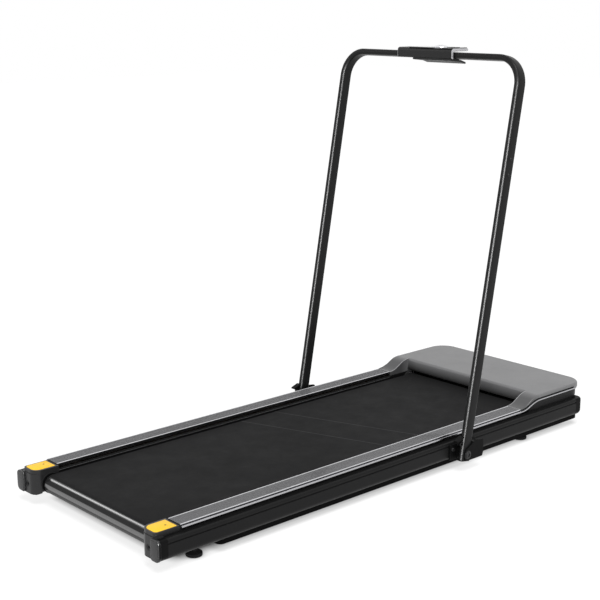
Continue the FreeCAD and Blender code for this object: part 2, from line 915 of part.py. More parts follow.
def motor():
    can = rod_y(motor_x, motor_height, motor_radius, motor_start, motor_end)
    half = motor_radius - motor_wall
    foot_start = motor_start + 3 * motor_wall
    foot = block(motor_x - half, motor_x + half, foot_start, motor_end - 3 * motor_wall, pan_top, motor_height)
    room = rod_y(motor_x, motor_height, rotor_radius + loose_fit, motor_start + motor_wall, motor_end - motor_wall)
    bore = rod_y(motor_x, motor_height, shaft_radius + running_fit, motor_start - 1, motor_end + 1)
    save("motor_housing", can.fuse(foot).removeSplitter().cut([room, bore]))
    core = rod_y(motor_x, motor_height, rotor_radius, motor_start + 2 * motor_wall, motor_end - 2 * motor_wall)
    shaft = rod_y(motor_x, motor_height, shaft_radius, motor_start, pulley_end)
    save("motor_rotor", core.fuse(shaft).removeSplitter())
    pulley = rod_y(motor_x, motor_height, motor_pulley_radius, pulley_start, pulley_end)
    save("motor_pulley", pulley.cut(rod_y(motor_x, motor_height, shaft_radius, pulley_start - 1, pulley_end + 1)))

    def loop(grow, start, end):
        return loop_prism(
            drive_roller_x,
            roller_pulley_radius + grow,
            roller_z,
            motor_x,
            motor_pulley_radius + grow,
            motor_height,
            start,
            end,
        )

    margin = (pulley_width - drive_belt_width) / 2
    start, end = pulley_start + margin, pulley_end - margin
    outside = loop(loose_fit + drive_belt_thickness, start, end)
    save("drive_belt", outside.cut(loop(loose_fit, start - 1, end + 1)))
    box_x = front_x - controller_setback
    half_box = controller_width / 2
    box_outer = controller_side_gap - rail_inner
    box_plan = rectangle(box_x - half_box, box_x + half_box, box_outer, box_outer + controller_length, 4.0)
    save("motor_controller", prism(box_plan, "xy", pan_top, pan_top + controller_height))


def power_inlet():
    y0, y1 = -inlet_side - inlet_width / 2, -inlet_side + inlet_width / 2
    z0, z1 = inlet_centre_height - inlet_height / 2, inlet_centre_height + inlet_height / 2
    border = inlet_flange_border
    body = block(inlet_rear, casing_front, y0 + seam, y1 - seam, z0 + seam, z1 - seam)
    flange = prism(rectangle(y0 - border, y1 + border, z0 - border, z1 + border, border), "yz", casing_front, inlet_face)
    socket_y = -inlet_side - socket_offset
    socket_floor = inlet_face - socket_depth
    socket_outline = rectangle(
        socket_y - socket_width / 2,
        socket_y + socket_width / 2,
        inlet_centre_height - socket_height / 2,
        inlet_centre_height + socket_height / 2,
        3.0,
    )
    socket = prism(socket_outline, "yz", socket_floor, inlet_face + 1)
    half = rocker_width / 2 + loose_fit
    tall = math.hypot(rocker_height / 2, rocker_thickness / 2) + loose_fit
    well = block(
        inlet_rear + 2 * loose_fit + rocker_thickness / 2,
        inlet_face + 1,
        rocker_y - half,
        rocker_y + half,
        inlet_centre_height - tall,
        inlet_centre_height + tall,
    )
    pin_hole = rod_y(
        rocker_x,
        inlet_centre_height,
        rocker_pin_radius + running_fit,
        rocker_y - half - 1,
        rocker_y + half + 1,
    )
    blades = [
        block(
            socket_floor - 1,
            socket_floor + blade_length,
            socket_y + blade_spacing * i - blade_width / 2,
            socket_y + blade_spacing * i + blade_width / 2,
            inlet_centre_height - blade_height / 2 + (2.0 if i == 0 else -1.5),
            inlet_centre_height + blade_height / 2 + (2.0 if i == 0 else -1.5),
        )
        for i in (-1, 0, 1)
    ]
    module = body.fuse(flange).removeSplitter().cut([socket, well, pin_hole])
    save("power_inlet", fuse_all([module] + blades))
    half_height = rocker_height / 2
    half_thick = rocker_thickness / 2
    profile = [
        (rocker_x - half_thick, inlet_centre_height - half_height * 0.6),
        (rocker_x + half_thick * 0.7, inlet_centre_height - half_height, 1.0),
        (rocker_x + half_thick * 0.4, inlet_centre_height),
        (rocker_x + half_thick * 0.7, inlet_centre_height + half_height, 1.0),
        (rocker_x - half_thick, inlet_centre_height + half_height * 0.6),
    ]
    rocker = prism(profile, "xz", rocker_y - rocker_width / 2, rocker_y + rocker_width / 2)
    pin = rod_y(rocker_x, inlet_centre_height, rocker_pin_radius, rocker_y - half - 0.8, rocker_y + half + 0.8)
    rocker = rocker.fuse(pin).removeSplitter()
    rocker.rotate(V(rocker_x, 0, inlet_centre_height), V(0, 1, 0), -rocker_tilt)
    save("power_rocker", rocker)


def feet():
    def foot(x, top):
        y = half_width - foot_inset
        sole = Part.makeCone(foot_radius - foot_taper, foot_radius, foot_taper, V(x, y, 0))
        disc = rod_z(x, y, foot_radius, foot_taper, foot_disc_height)
        cone = Part.makeCone(
            foot_radius - foot_taper,
            foot_stem_radius,
            foot_cone_height,
            V(x, y, foot_disc_height),
        )
        stem = rod_z(x, y, foot_stem_radius, foot_disc_height, top)
        return fuse_all([sole, disc, cone, stem])

    rear = foot(rear_x + rear_foot_setback, rail_underside)
    front = foot(front_x - front_foot_setback, pan_bottom)
    save("rubber_feet", rear, front, mirrored(rear), mirrored(front))


def transport_wheels():
    leg = wheel_bracket_leg
    inner = wheel_side - wheel_hub_width / 2 - leg - loose_fit
    outer = casing_side - casing_wall
    leg_start = wheel_side + wheel_hub_width / 2 + loose_fit
    x0, x1 = wheel_x - wheel_bracket_length / 2, wheel_x + wheel_bracket_length / 2
    low = wheel_z - 2 * wheel_axle_radius
    high = wheel_z + wheel_radius + wheel_bracket_rise
    bracket = fuse_all(
        [
            block(x0, x1, inner, inner + leg, low, high),
            block(x0, x1, leg_start, outer, low, high),
            block(x0, x1, inner, outer, high - leg, high),
        ]
    )
    axle = rod_y(wheel_x, wheel_z, wheel_axle_radius, inner, outer - leg)
    save_both("wheel_brackets", bracket.cut(rod_y(wheel_x, wheel_z, wheel_axle_radius, inner - 1, outer - leg)))
    save_both("wheel_axles", axle)
    half = wheel_width / 2
    tyre = rod_y(wheel_x, wheel_z, wheel_radius, wheel_side - half, wheel_side + half)
    hub_half = wheel_hub_width / 2
    hub = rod_y(wheel_x, wheel_z, 2 * wheel_axle_radius, wheel_side - hub_half, wheel_side + hub_half)
    bore = rod_y(wheel_x, wheel_z, wheel_axle_radius + running_fit, wheel_side - half - 9, wheel_side + half + 9)
    save_pair("transport_wheel", tyre.fuse(hub).removeSplitter().cut(bore))


def hinge_bracket():
    def at_pivot(points):
        return [(pivot_x + p[0], pivot_height + p[1]) + tuple(p[2:]) for p in points]

    plate_side = at_pivot(rectangle(-bracket_rear, bracket_front, -bracket_low, bracket_high, 4.0))
    plate = prism(plate_side, "xz", half_width, half_width + bracket_plate)
    barrel = rod_y(pivot_x, pivot_height, barrel_radius, half_width, tube_inner_y - barrel_gap)
    tube_front = tube_depth / 2 + loose_fit

    def post_front(height):
        return tube_front / lean_cos + height * lean_sin / lean_cos

    web_front = web_clear + web_thickness
    web_side = at_pivot(
        [
            (web_clear, -bracket_low),
            (web_front, -bracket_low),
            (web_front, stop_top),
            (post_front(stop_top), stop_top),
            (post_front(stop_low), stop_low),
            (web_clear, stop_low),
        ]
    )
    web = prism(web_side, "xz", half_width, cheek_outer)
    cheek_side = at_pivot(
        [
            (-tube_depth / 4, -bracket_low, 4.0),
            (bracket_front - 4.0, -bracket_low, 4.0),
            (bracket_front, -2.0, 4.0),
            (bracket_front - 2.0, stop_top, 5.0),
            (web_front, stop_top + 4.0, 5.0),
            (-tube_depth / 4, bracket_low - 4.0, 5.0),
        ]
    )
    cheek = prism(cheek_side, "xz", cheek_inner, cheek_outer)
    bracket = fuse_all([plate, barrel, web, cheek])
    holes = [rod_y(pivot_x, pivot_height, pivot_radius, half_width - 1, cheek_outer + 1)]
    screws = []
    for x, z in bracket_screw_places():
        head_start = half_width + bracket_plate
        holes.append(rod_y(x, z, bracket_screw_radius, half_width - 1, head_start + 1))
        shank = rod_y(x, z, bracket_screw_radius, half_width - rail_wall - 2, head_start)
        screws.append(shank.fuse(rod_y(x, z, bracket_screw_head, head_start, head_start + bracket_plate)))
    save_pair("hinge_bracket", bracket.cut(holes))
    save("bracket_screws", *screws, *[mirrored(screw) for screw in screws])
    shank = rod_y(pivot_x, pivot_height, pivot_radius, half_width, cheek_outer)
    head = rod_y(pivot_x, pivot_height, pivot_head_radius, cheek_outer, cheek_outer + pivot_head_height)
    save_both("pivot_bolts", shank.fuse(head))


def on_handrail(shape):
    """Lean a piece drawn upright about the pivot and set it at the pivot."""
    shape.rotate(V(0, 0, 0), V(0, 1, 0), handrail_lean)
    shape.translate(V(pivot_x, 0, pivot_height))
    return shape


def tube_section(inset, y):
    depth = tube_depth / 2 - inset
    width = tube_width / 2 - inset
    return rectangle(-depth, depth, y - width, y + width, tube_corner - inset)


def joiner_screw_heights():
    return split_height - joiner_screw_spacing / 2, split_height + joiner_screw_spacing / 2


def screw_holes():
    radius = joiner_screw_radius + running_fit
    return [rod_y(0, z, radius, tube_y, tube_outer_y + 1) for z in joiner_screw_heights()]


def handrail_post():
    low = plug_flange - post_foot
    tube = prism(tube_section(0, tube_y), "xy", low, split_height)
    tube = tube.cut(prism(tube_section(tube_wall, tube_y), "xy", low - 1, split_height + 1))
    sleeve = rod_y(0, 0, crush_sleeve_radius, tube_inner_y + tube_wall / 2, tube_outer_y - tube_wall / 2)
    back = -tube_depth / 2
    pin_x = back - lever_pin_back
    lugs = []
    for side in (-1, 1):
        near = tube_y + side * (lever_hub_width / 2 + loose_fit)
        far = near + side * lug_thickness
        points = [
            (back + tube_wall / 2, lever_pin_up - lever_hub_radius),
            (back + tube_wall / 2, lever_pin_up + lever_hub_radius),
            (pin_x - lever_hub_radius, lever_pin_up + lever_hub_radius, lever_hub_radius * 0.98),
            (pin_x - lever_hub_radius, lever_pin_up - lever_hub_radius, lever_hub_radius * 0.98),
        ]
        lugs.append(prism(points, "xz", min(near, far), max(near, far)))
    post = fuse_all([tube, sleeve] + lugs)
    pivot_bore = rod_y(0, 0, pivot_radius + running_fit, tube_inner_y - 1, tube_outer_y + 1)
    pin_bore = rod_y(pin_x, lever_pin_up, lever_pin_radius + running_fit, tube_inner_y, tube_outer_y)
    save_pair("handrail_post", on_handrail(post.cut([pivot_bore, pin_bore] + screw_holes())))


def fold_lever():
    back = -tube_depth / 2
    pin_x = back - lever_pin_back
    hub_half = lever_hub_width / 2
    hub = rod_y(pin_x, lever_pin_up, lever_hub_radius, tube_y - hub_half, tube_y + hub_half)
    stalk_half = lever_hub_radius * 0.8
    stalk_top = lever_top - lever_drop / 2
    stalk = block(pin_x - stalk_half, pin_x + stalk_half, tube_y - hub_half, tube_y + hub_half, lever_pin_up, stalk_top)
    near = back - lever_pin_back / 4
    paddle_side = [
        (near, lever_top - lever_thickness, 1.0),
        (near, lever_top, 1.5),
        (back - lever_reach, lever_top - lever_drop, 1.5),
        (back - lever_reach, lever_top - lever_drop - lever_thickness, 1.5),
    ]
    paddle = prism(paddle_side, "xz", tube_y - lever_width / 2, tube_y + lever_width / 2)
    pin_half = hub_half + loose_fit + lug_thickness
    pin = rod_y(pin_x, lever_pin_up, lever_pin_radius, tube_y - pin_half, tube_y + pin_half)
    save_pair("fold_lever", on_handrail(fuse_all([hub, stalk, paddle, pin])))


def handrail_top():
    corner = tube_y - bend_radius
    bend_start = hoop_height - bend_radius

    def bow(inset, grow):
        leg = prism(tube_section(inset, tube_y), "xy", split_height - grow, bend_start)
        face = Part.Face(outline(tube_section(inset, tube_y), "xy", bend_start))
        bend = face.revolve(V(0, corner, bend_start), V(1, 0, 0), 90)
        depth = tube_depth / 2 - inset
        width = tube_width / 2 - inset
        bar_section = rectangle(-depth, depth, hoop_height - width, hoop_height + width, tube_corner - inset)
        bar = prism(bar_section, "xz", -corner, corner)
        return fuse_all([bar, bend, leg, mirrored(bend), mirrored(leg)])

    holes = screw_holes()
    shell = bow(0, 0).cut(bow(tube_wall, 1))
    save("handrail_top", on_handrail(shell.cut(holes + [mirrored(hole) for hole in holes])))


def post_fittings():
    half = joiner_length / 2
    inset = tube_wall + joiner_fit
    joiner = prism(tube_section(inset, tube_y), "xy", split_height - half, split_height + half)
    inside = prism(tube_section(inset + tube_wall, tube_y), "xy", split_height - half - 1, split_height + half + 1)
    joiner = joiner.cut([inside] + screw_holes())
    save_both("post_joiners", on_handrail(joiner))
    screws = []
    for z in joiner_screw_heights():
        shank = rod_y(0, z, joiner_screw_radius, tube_outer_y - 3 * tube_wall, tube_outer_y)
        head = rod_y(0, z, joiner_head_radius, tube_outer_y, tube_outer_y + joiner_head_height)
        screws.append(on_handrail(shank.fuse(head)))
    save("joiner_screws", *screws, *[mirrored(screw) for screw in screws])
    flange = prism(tube_section(0, tube_y), "xy", -post_foot, plug_flange - post_foot)
    stem = prism(tube_section(inset, tube_y), "xy", plug_flange - post_foot, plug_flange - post_foot + plug_length)
    save_both("post_end_plugs", on_handrail(flange.fuse(stem).removeSplitter()))


def console():
    half_depth, half_height = tube_depth / 2, tube_width / 2

    def bar_corner(along, across):
        x = bar_x + along * half_depth * lean_cos + across * half_height * lean_sin
        return x, bar_z - along * half_depth * lean_sin + across * half_height * lean_cos

    arm_low = bar_corner(-1, 1)[1] + loose_fit
    arm_top = arm_low + console_arm
    rear = bar_x - console_back
    front = bar_x + console_front
    inner = bar_corner(-1, -1)[0] - loose_fit
    low = arm_top - console_depth
    half = console_length / 2
    section = [
        (rear, low, console_edge_radius),
        (rear, arm_top, console_back_radius),
        (front, arm_top, console_edge_radius),
        (front, arm_low, console_edge_radius),
        (inner, arm_low, console_notch_radius),
        (inner, low, console_edge_radius / 3),
    ]
    cover_end = console_cover_length - half
    room = block(
        rear + console_wall,
        front - console_wall,
        -half + console_wall,
        cover_end - console_wall,
        arm_low + console_floor,
        arm_top + 1,
    )
    save("console_housing", prism(section, "xz", -half, half).cut(room))
    cover_top = arm_top + console_cover_height
    cover = prism(rectangle(rear + 1, front - 1, -half, cover_end, 4.0), "xy", arm_top, cover_top)
    middle = bar_x + button_forward
    glass_y1 = cover_end - display_edge
    glass_y0 = glass_y1 - display_length
    glass_x0, glass_x1 = middle - display_width / 2, middle + display_width / 2
    glass_low = cover_top - display_glass
    seat = block(glass_x0 - seam, glass_x1 + seam, glass_y0 - seam, glass_y1 + seam, glass_low, cover_top + 1)
    save("display_window", block(glass_x0, glass_x1, glass_y0, glass_y1, glass_low, cover_top))
    below = arm_top - button_skirt
    body = rod_z(middle, -button_side, button_radius, below, cover_top)
    sphere_radius = (button_radius**2 + button_dome**2) / (2 * button_dome)
    crown = Part.makeSphere(sphere_radius, V(middle, -button_side, cover_top + button_dome - sphere_radius))
    crown = crown.common(rod_z(middle, -button_side, button_radius, cover_top, cover_top + button_dome + 1))
    save("start_button", body.fuse(crown).removeSplitter())
    cuts = [seat, rod_z(middle, -button_side, button_radius + loose_fit, arm_top - 1, cover_top + 1)]
    for i, name in enumerate(("plus_key", "minus_key")):
        y = -key_side - key_spacing * i
        half_key, half_wide = key_length / 2, key_width / 2
        key = rectangle(middle - half_wide, middle + half_wide, y - half_key, y + half_key, 3.0)
        hole = rectangle(
            middle - half_wide - loose_fit,
            middle + half_wide + loose_fit,
            y - half_key - loose_fit,
            y + half_key + loose_fit,
            3.0,
        )
        cuts.append(prism(hole, "xy", arm_top - 1, cover_top + 1))
        save(name, prism(key, "xy", below, cover_top + key_rise))
    save("console_cover", cover.cut(cuts))
    near_x, near_z = bar_corner(-1, -1)
    far_x, far_z = bar_corner(1, -1)
    jaw_gap = loose_fit / lean_cos
    jaw = [
        (rear + 1, low),
        (inner, low),
        (inner, near_z - jaw_gap),
        (far_x, far_z - jaw_gap),
        (front - 4.0, far_z - jaw_gap - jaw_drop, 2.0),
        (front - 4.0, far_z - jaw_gap - jaw_drop - jaw_thickness, 2.0),
        (far_x, far_z - jaw_gap - jaw_thickness),
        (rear + 1, low - jaw_thickness, 2.0),
    ]
    jaw_start = jaw_side_gap - half
    save("console_clamp", prism(jaw, "xz", jaw_start, jaw_start + jaw_length))


def main():
    os.makedirs("parts", exist_ok=True)
    side_rail()
    foot_strip()
    edge_trim()
    rear_end_cap()
    corner_pad()
    rear_roller()
    drive_roller()
    running_belt()
    deck()
    hood_panel()
    front_casing()
    front_bumper()
    belly_pan()
    motor()
    power_inlet()
    feet()
    transport_wheels()
    hinge_bracket()
    handrail_post()
    fold_lever()
    handrail_top()
    post_fittings()
    console()


main()
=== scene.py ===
import bmesh
import bpy
import math
from mathutils import Matrix, Vector


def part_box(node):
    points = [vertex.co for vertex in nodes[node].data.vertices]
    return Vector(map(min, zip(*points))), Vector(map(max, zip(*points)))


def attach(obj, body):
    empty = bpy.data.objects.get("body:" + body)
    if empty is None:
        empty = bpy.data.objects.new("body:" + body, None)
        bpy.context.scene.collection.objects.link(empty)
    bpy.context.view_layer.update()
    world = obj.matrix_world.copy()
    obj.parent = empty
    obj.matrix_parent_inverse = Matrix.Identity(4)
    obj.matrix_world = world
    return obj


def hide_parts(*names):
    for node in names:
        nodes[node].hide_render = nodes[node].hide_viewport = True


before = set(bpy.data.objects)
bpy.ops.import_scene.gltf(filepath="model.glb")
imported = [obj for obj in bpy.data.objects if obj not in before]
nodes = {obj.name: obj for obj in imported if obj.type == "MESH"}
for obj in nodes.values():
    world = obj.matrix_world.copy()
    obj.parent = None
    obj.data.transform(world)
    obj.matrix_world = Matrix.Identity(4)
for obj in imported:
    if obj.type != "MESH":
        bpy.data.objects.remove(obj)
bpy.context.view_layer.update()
scene = bpy.context.scene
MM = 0.001


# Node helpers and the shader groups that the finishes share

def new_group(name, kind, inputs, outputs):
    group = bpy.data.node_groups.new(name, kind)
    for label, socket, value in inputs:
        made = group.interface.new_socket(label, in_out="INPUT", socket_type="NodeSocket" + socket)
        if value is not None:
            made.default_value = value
    for label, socket in outputs:
        group.interface.new_socket(label, in_out="OUTPUT", socket_type="NodeSocket" + socket)
    return group, group.nodes.new("NodeGroupInput"), group.nodes.new("NodeGroupOutput")


def add(tree, kind, **settings):
    node = tree.nodes.new(kind)
    for key, value in settings.items():
        setattr(node, key, value)
    return node


def feed(tree, node, **values):
    """Set or link a node's inputs by their labels, with _ for a space."""
    for label, value in values.items():
        socket = node.inputs[label.replace("_", " ")]
        if hasattr(value, "is_linked"):
            tree.links.new(value, socket)
        else:
            socket.default_value = value
    return node


def math_node(tree, operation, a, b=None, clamp=False):
    node = add(tree, "ShaderNodeMath", operation=operation, use_clamp=clamp)
    for socket, value in zip(node.inputs, (a, b)):
        if value is None:
            continue
        if isinstance(value, (int, float)):
            socket.default_value = value
        else:
            tree.links.new(value, socket)
    return node.outputs[0]


def fed(tree, kind, **values):
    """A new node with these inputs."""
    return feed(tree, add(tree, kind), **values)


def times(tree, a, b):
    return math_node(tree, "MULTIPLY", a, b)


def size_of(tree, value):
    return math_node(tree, "ABSOLUTE", value)


def vector_of(tree, **values):
    return fed(tree, "ShaderNodeCombineXYZ", **values).outputs[0]


def coordinates(tree, place):
    parts = add(tree, "ShaderNodeSeparateXYZ")
    tree.links.new(place, parts.inputs[0])
    return parts.outputs["X"], parts.outputs["Y"], parts.outputs["Z"]


def noise(tree, vector, scale, detail=2.0, roughness=0.5):
    node = add(tree, "ShaderNodeTexNoise")
    feed(tree, node, Vector=vector, Scale=scale, Detail=detail, Roughness=roughness)
    return node.outputs["Fac"]


def spread(tree, value, low, high, from_low=0.3, from_high=0.7):
    node = add(tree, "ShaderNodeMapRange")
    feed(tree, node, Value=value, From_Min=from_low, From_Max=from_high, To_Min=low, To_Max=high)
    return node.outputs["Result"]


def make_moulded_grain():
    """Fine pebbled grain and soft clouds of tone, as on moulded plastic and powder coat."""
    group, given, result = new_group(
        "moulded_grain",
        "ShaderNodeTree",
        [
            ("Vector", "Vector", None),
            ("Grain size", "Float", 0.0006),
            ("Cloud size", "Float", 0.12),
        ],
        [("Height", "Float"), ("Cloud", "Float"), ("Rub", "Float")],
    )
    place = given.outputs["Vector"]
    fine = math_node(group, "DIVIDE", 1.0, given.outputs["Grain size"])
    wide = math_node(group, "DIVIDE", 1.0, given.outputs["Cloud size"])
    pebble = feed(group, add(group, "ShaderNodeTexVoronoi", feature="SMOOTH_F1"), Vector=place, Scale=fine)
    sand = noise(group, place, fine, 3.0, 0.6)
    feed(
        group,
        result,
        Height=math_node(group, "ADD", times(group, pebble.outputs["Distance"], 0.6), sand),
        Cloud=noise(group, place, wide, 4.0, 0.55),
        Rub=noise(group, place, times(group, wide, 3.7), 5.0, 0.65),
    )
    return group


def make_drawn_lines():
    """Fine lines along the length of drawn or extruded metal."""
    group, given, result = new_group(
        "drawn_lines",
        "ShaderNodeTree",
        [
            ("Vector", "Vector", None),
            ("Line spacing", "Float", 0.0004),
            ("Line length", "Float", 0.15),
        ],
        [("Height", "Float"), ("Streak", "Float"), ("Rub", "Float")],
    )
    place = given.outputs["Vector"]
    x, y, z = coordinates(group, place)
    across = math_node(group, "DIVIDE", 1.0, given.outputs["Line spacing"])
    along = math_node(group, "DIVIDE", 1.0, given.outputs["Line length"])
    y, z = times(group, y, across), times(group, z, across)
    stretched = vector_of(group, X=times(group, x, along), Y=y, Z=z)
    feed(
        group,
        result,
        Height=noise(group, stretched, 1.0, 2.0, 0.5),
        Streak=noise(group, stretched, 0.23, 3.0, 0.6),
        Rub=noise(group, place, 14.0, 4.0, 0.6),
    )
    return group


MOULDED_GRAIN = make_moulded_grain()
DRAWN_LINES = make_drawn_lines()


# Finishes

def start_material(name):
    material = bpy.data.materials.new(name)
    material.use_nodes = True
    tree = material.node_tree
    shader = tree.nodes["Principled BSDF"]
    place = add(tree, "ShaderNodeTexCoord")
    return material, tree, shader, place.outputs["Object"]


def put_group(tree, group, vector, **values):
    node = add(tree, "ShaderNodeGroup", node_tree=group)
    return feed(tree, node, Vector=vector, **values)


def two_tone(tree, mask, first, second):
    node = add(tree, "ShaderNodeMix", data_type="RGBA")
    tree.links.new(mask, node.inputs["Factor"])
    for socket, colour in zip((node.inputs[6], node.inputs[7]), (first, second)):
        if hasattr(colour, "is_linked"):
            tree.links.new(colour, socket)
        else:
            socket.default_value = (*colour, 1.0)
    return node.outputs[2]


def bump(tree, shader, height, strength, distance):
    node = fed(tree, "ShaderNodeBump", Height=height, Strength=strength, Distance=distance)
    feed(tree, shader, Normal=node.outputs["Normal"])


def grey(level, tint=0.03):
    return (level, level, level * (1.0 + tint))


def mottled(tree, group, pattern, dark, light):
    """Tone that wanders between two colours with one of the group's patterns."""
    return two_tone(tree, spread(tree, group.outputs[pattern], 0.0, 1.0), dark, light)


def wear(tree, shader, group, rough, strength, depth):
    """Uneven gloss and fine relief from the group's patterns."""
    feed(tree, shader, Roughness=spread(tree, group.outputs["Rub"], *rough))
    bump(tree, shader, group.outputs["Height"], strength, depth)


def grained(
    name, dark, light, rough, grain=0.0007, depth=0.00004, strength=0.35, shine=0.5, metal=0.0, coat=0.0
):
    """Painted or moulded finish with pebbled grain, cloudy tone and uneven gloss."""
    material, tree, shader, place = start_material(name)
    group = put_group(tree, MOULDED_GRAIN, place, Grain_size=grain)
    colour = mottled(tree, group, "Cloud", dark, light)
    wear(tree, shader, group, rough, strength, depth)
    feed(tree, shader, Base_Color=colour, Metallic=metal, Specular_IOR_Level=shine)
    if coat:
        feed(tree, shader, Coat_Weight=coat, Coat_Roughness=0.12)
    return material


def drawn(name, dark, light, rough, spacing=0.0004, depth=0.00002, strength=0.3, metal=1.0):
    """Metal or board with fine lines along its length."""
    material, tree, shader, place = start_material(name)
    group = put_group(tree, DRAWN_LINES, place, Line_spacing=spacing)
    colour = mottled(tree, group, "Streak", dark, light)
    wear(tree, shader, group, rough, strength, depth)
    feed(tree, shader, Base_Color=colour, Metallic=metal)
    return material


def line_mask(tree, place, start, end, half_width):
    """1 along a straight line between two points of the top plane, 0 away from it."""
    (x0, y0), (x1, y1) = start, end
    length = math.hypot(x1 - x0, y1 - y0)
    x, y, _ = coordinates(tree, place)
    across_x = times(tree, math_node(tree, "SUBTRACT", x, x0), (y1 - y0) / length)
    across_y = times(tree, math_node(tree, "SUBTRACT", y, y0), (x1 - x0) / length)
    away = size_of(tree, math_node(tree, "SUBTRACT", across_x, across_y))
    return spread(tree, away, 1.0, 0.0, half_width * 0.5, half_width)


def belt_finish():
    """Black running belt: fine pebble, two faint slanted pale lines across the top and a rubbed wrap at the
    rear.
    """
    pale_line_ends = (((-0.1206, 0.1907), (-0.010, -0.102)), ((0.0106, 0.1567), (0.1397, -0.1833)))
    pale_line_half_width = 0.0016
    material, tree, shader, place = start_material("running_belt_rubber")
    group = put_group(tree, MOULDED_GRAIN, place, Grain_size=0.0011, Cloud_size=0.22)
    base = mottled(tree, group, "Cloud", grey(0.007), grey(0.0095))
    x, _, z = coordinates(tree, place)
    # two faint pale lines across the top, lighter than the belt and slightly raised
    lines = [line_mask(tree, place, start, end, pale_line_half_width) for start, end in pale_line_ends]
    on_top = spread(tree, z, 0.0, 1.0, 0.0755, 0.0765)
    pale_lines = times(tree, math_node(tree, "MAXIMUM", *lines), on_top)
    colour = two_tone(tree, times(tree, pale_lines, 0.6), base, grey(0.06))
    height = math_node(tree, "ADD", group.outputs["Height"], times(tree, pale_lines, 1.5))
    bump(tree, shader, height, 0.45, 0.00006)
    behind = spread(tree, x, 1.0, 0.0, -0.710, -0.708)
    turned_down = times(tree, behind, spread(tree, z, 1.0, 0.0, 0.0728, 0.0745))
    upper = spread(tree, z, 0.1, 1.0, 0.0690, 0.0712)
    below = spread(tree, z, 1.0, 0.0, 0.0590, 0.0612)
    lower = times(tree, below, spread(tree, z, 0.25, 1.0, 0.0485, 0.0510))
    feed(
        tree,
        shader,
        Base_Color=colour,
        Roughness=spread(tree, group.outputs["Rub"], 0.62, 0.74),
        Specular_IOR_Level=0.07,
        Coat_Weight=times(tree, turned_down, math_node(tree, "MAXIMUM", upper, lower)),
        Coat_Roughness=0.15,
        Coat_IOR=2.1,
    )
    return material


def hood_finish():
    """Satin grey moulded plastic, with painted shade: darker on the ramps and near black low on the wall above
    the belt.
    """
    material, tree, shader, place = start_material("hood_grey_plastic")
    group = put_group(tree, MOULDED_GRAIN, place, Grain_size=0.0006, Cloud_size=0.3)
    x, y, z = coordinates(tree, place)
    # painted shade: the ramps are mixed towards dark grey
    ramp = spread(tree, x, 0.75, 0.0, 0.515, 0.548)
    # painted shade: low on the wall above the belt, between the ramps, the colour goes near black
    low = spread(tree, z, 1.0, 0.0, 0.088, 0.112)
    between = spread(tree, size_of(tree, y), 1.0, 0.0, 0.2215, 0.2228)
    colour = mottled(tree, group, "Cloud", grey(0.14, 0.02), grey(0.152, 0.02))
    colour = two_tone(tree, ramp, colour, grey(0.035))
    colour = two_tone(tree, times(tree, low, between), colour, grey(0.004))
    wear(tree, shader, group, (0.34, 0.42), 0.25, 0.00002)
    feed(tree, shader, Base_Color=colour, Specular_IOR_Level=0.5)
    return material


def cap_finish():
    """Satin black plastic, with painted shade: the outer flank is near black and uncoated, and the opening
    round the roller end is near black, matt and uncoated.
    """
    material, tree, shader, place = start_material("cap_black_plastic")
    group = put_group(tree, MOULDED_GRAIN, place, Grain_size=0.0007)
    _, y, _ = coordinates(tree, place)
    # painted shade: the recess round the roller end and the outer flank are coloured near black
    opening = spread(tree, size_of(tree, y), 1.0, 0.0, 0.2125, 0.2132)
    flank = spread(tree, size_of(tree, y), 0.0, 1.0, 0.2732, 0.2736)
    colour = mottled(tree, group, "Cloud", grey(0.017), grey(0.022))
    colour = two_tone(tree, flank, colour, grey(0.004))
    colour = two_tone(tree, opening, colour, grey(0.0025))
    gloss = spread(tree, group.outputs["Rub"], 0.3, 0.4)
    dull = spread(tree, opening, 0.0, 0.55, 0.0, 1.0)
    bump(tree, shader, group.outputs["Height"], 0.3, 0.00003)
    plain = math_node(tree, "MAXIMUM", opening, flank)
    feed(
        tree,
        shader,
        Base_Color=colour,
        Roughness=math_node(tree, "ADD", gloss, dull),
        Specular_IOR_Level=0.06,
        Coat_Weight=spread(tree, plain, 0.42, 0.0, 0.0, 1.0),
        Coat_Roughness=0.3,
    )
    return material


def plug_finish():
    """Satin black plug with a glossy face and rim, and a near black, uncoated outer side as painted shade."""
    material, tree, shader, place = start_material("end_plug_black_plastic")
    group = put_group(tree, MOULDED_GRAIN, place, Grain_size=0.0007)
    _, y, _ = coordinates(tree, place)
    # painted shade: the outer side is coloured near black and left without coat
    flank = spread(tree, size_of(tree, y), 0.0, 1.0, 0.2889, 0.2893)
    face = mottled(tree, group, "Cloud", grey(0.02), grey(0.026))
    wear(tree, shader, group, (0.3, 0.4), 0.2, 0.00002)
    feed(
        tree,
        shader,
        Base_Color=two_tone(tree, flank, face, grey(0.003)),
        Specular_IOR_Level=0.06,
        Coat_Weight=spread(tree, flank, 0.5, 0.0, 0.0, 1.0),
        Coat_Roughness=0.2,
    )
    return material


def trim_finish():
    """Bright drawn aluminium lip, duller on its outer side, on a tongue coloured near black and not metallic as
    painted shade in the gap beside the strip.
    """
    material, tree, shader, place = start_material("trim_bright_aluminium")
    group = put_group(tree, DRAWN_LINES, place, Line_spacing=0.0004)
    _, y, _ = coordinates(tree, place)
    # painted shade: the tongue, seen in the gap beside the foot strip, is coloured near black
    lip = spread(tree, size_of(tree, y), 0.0, 1.0, 0.2708, 0.27095)
    side = spread(tree, size_of(tree, y), 0.0, 1.0, 0.27485, 0.27495)
    bright = mottled(tree, group, "Streak", grey(0.74), grey(0.86))
    bright = two_tone(tree, side, bright, grey(0.42))
    wear(tree, shader, group, (0.14, 0.2), 0.2, 0.00001)
    feed(tree, shader, Base_Color=two_tone(tree, lip, grey(0.02), bright), Metallic=lip)
    return material


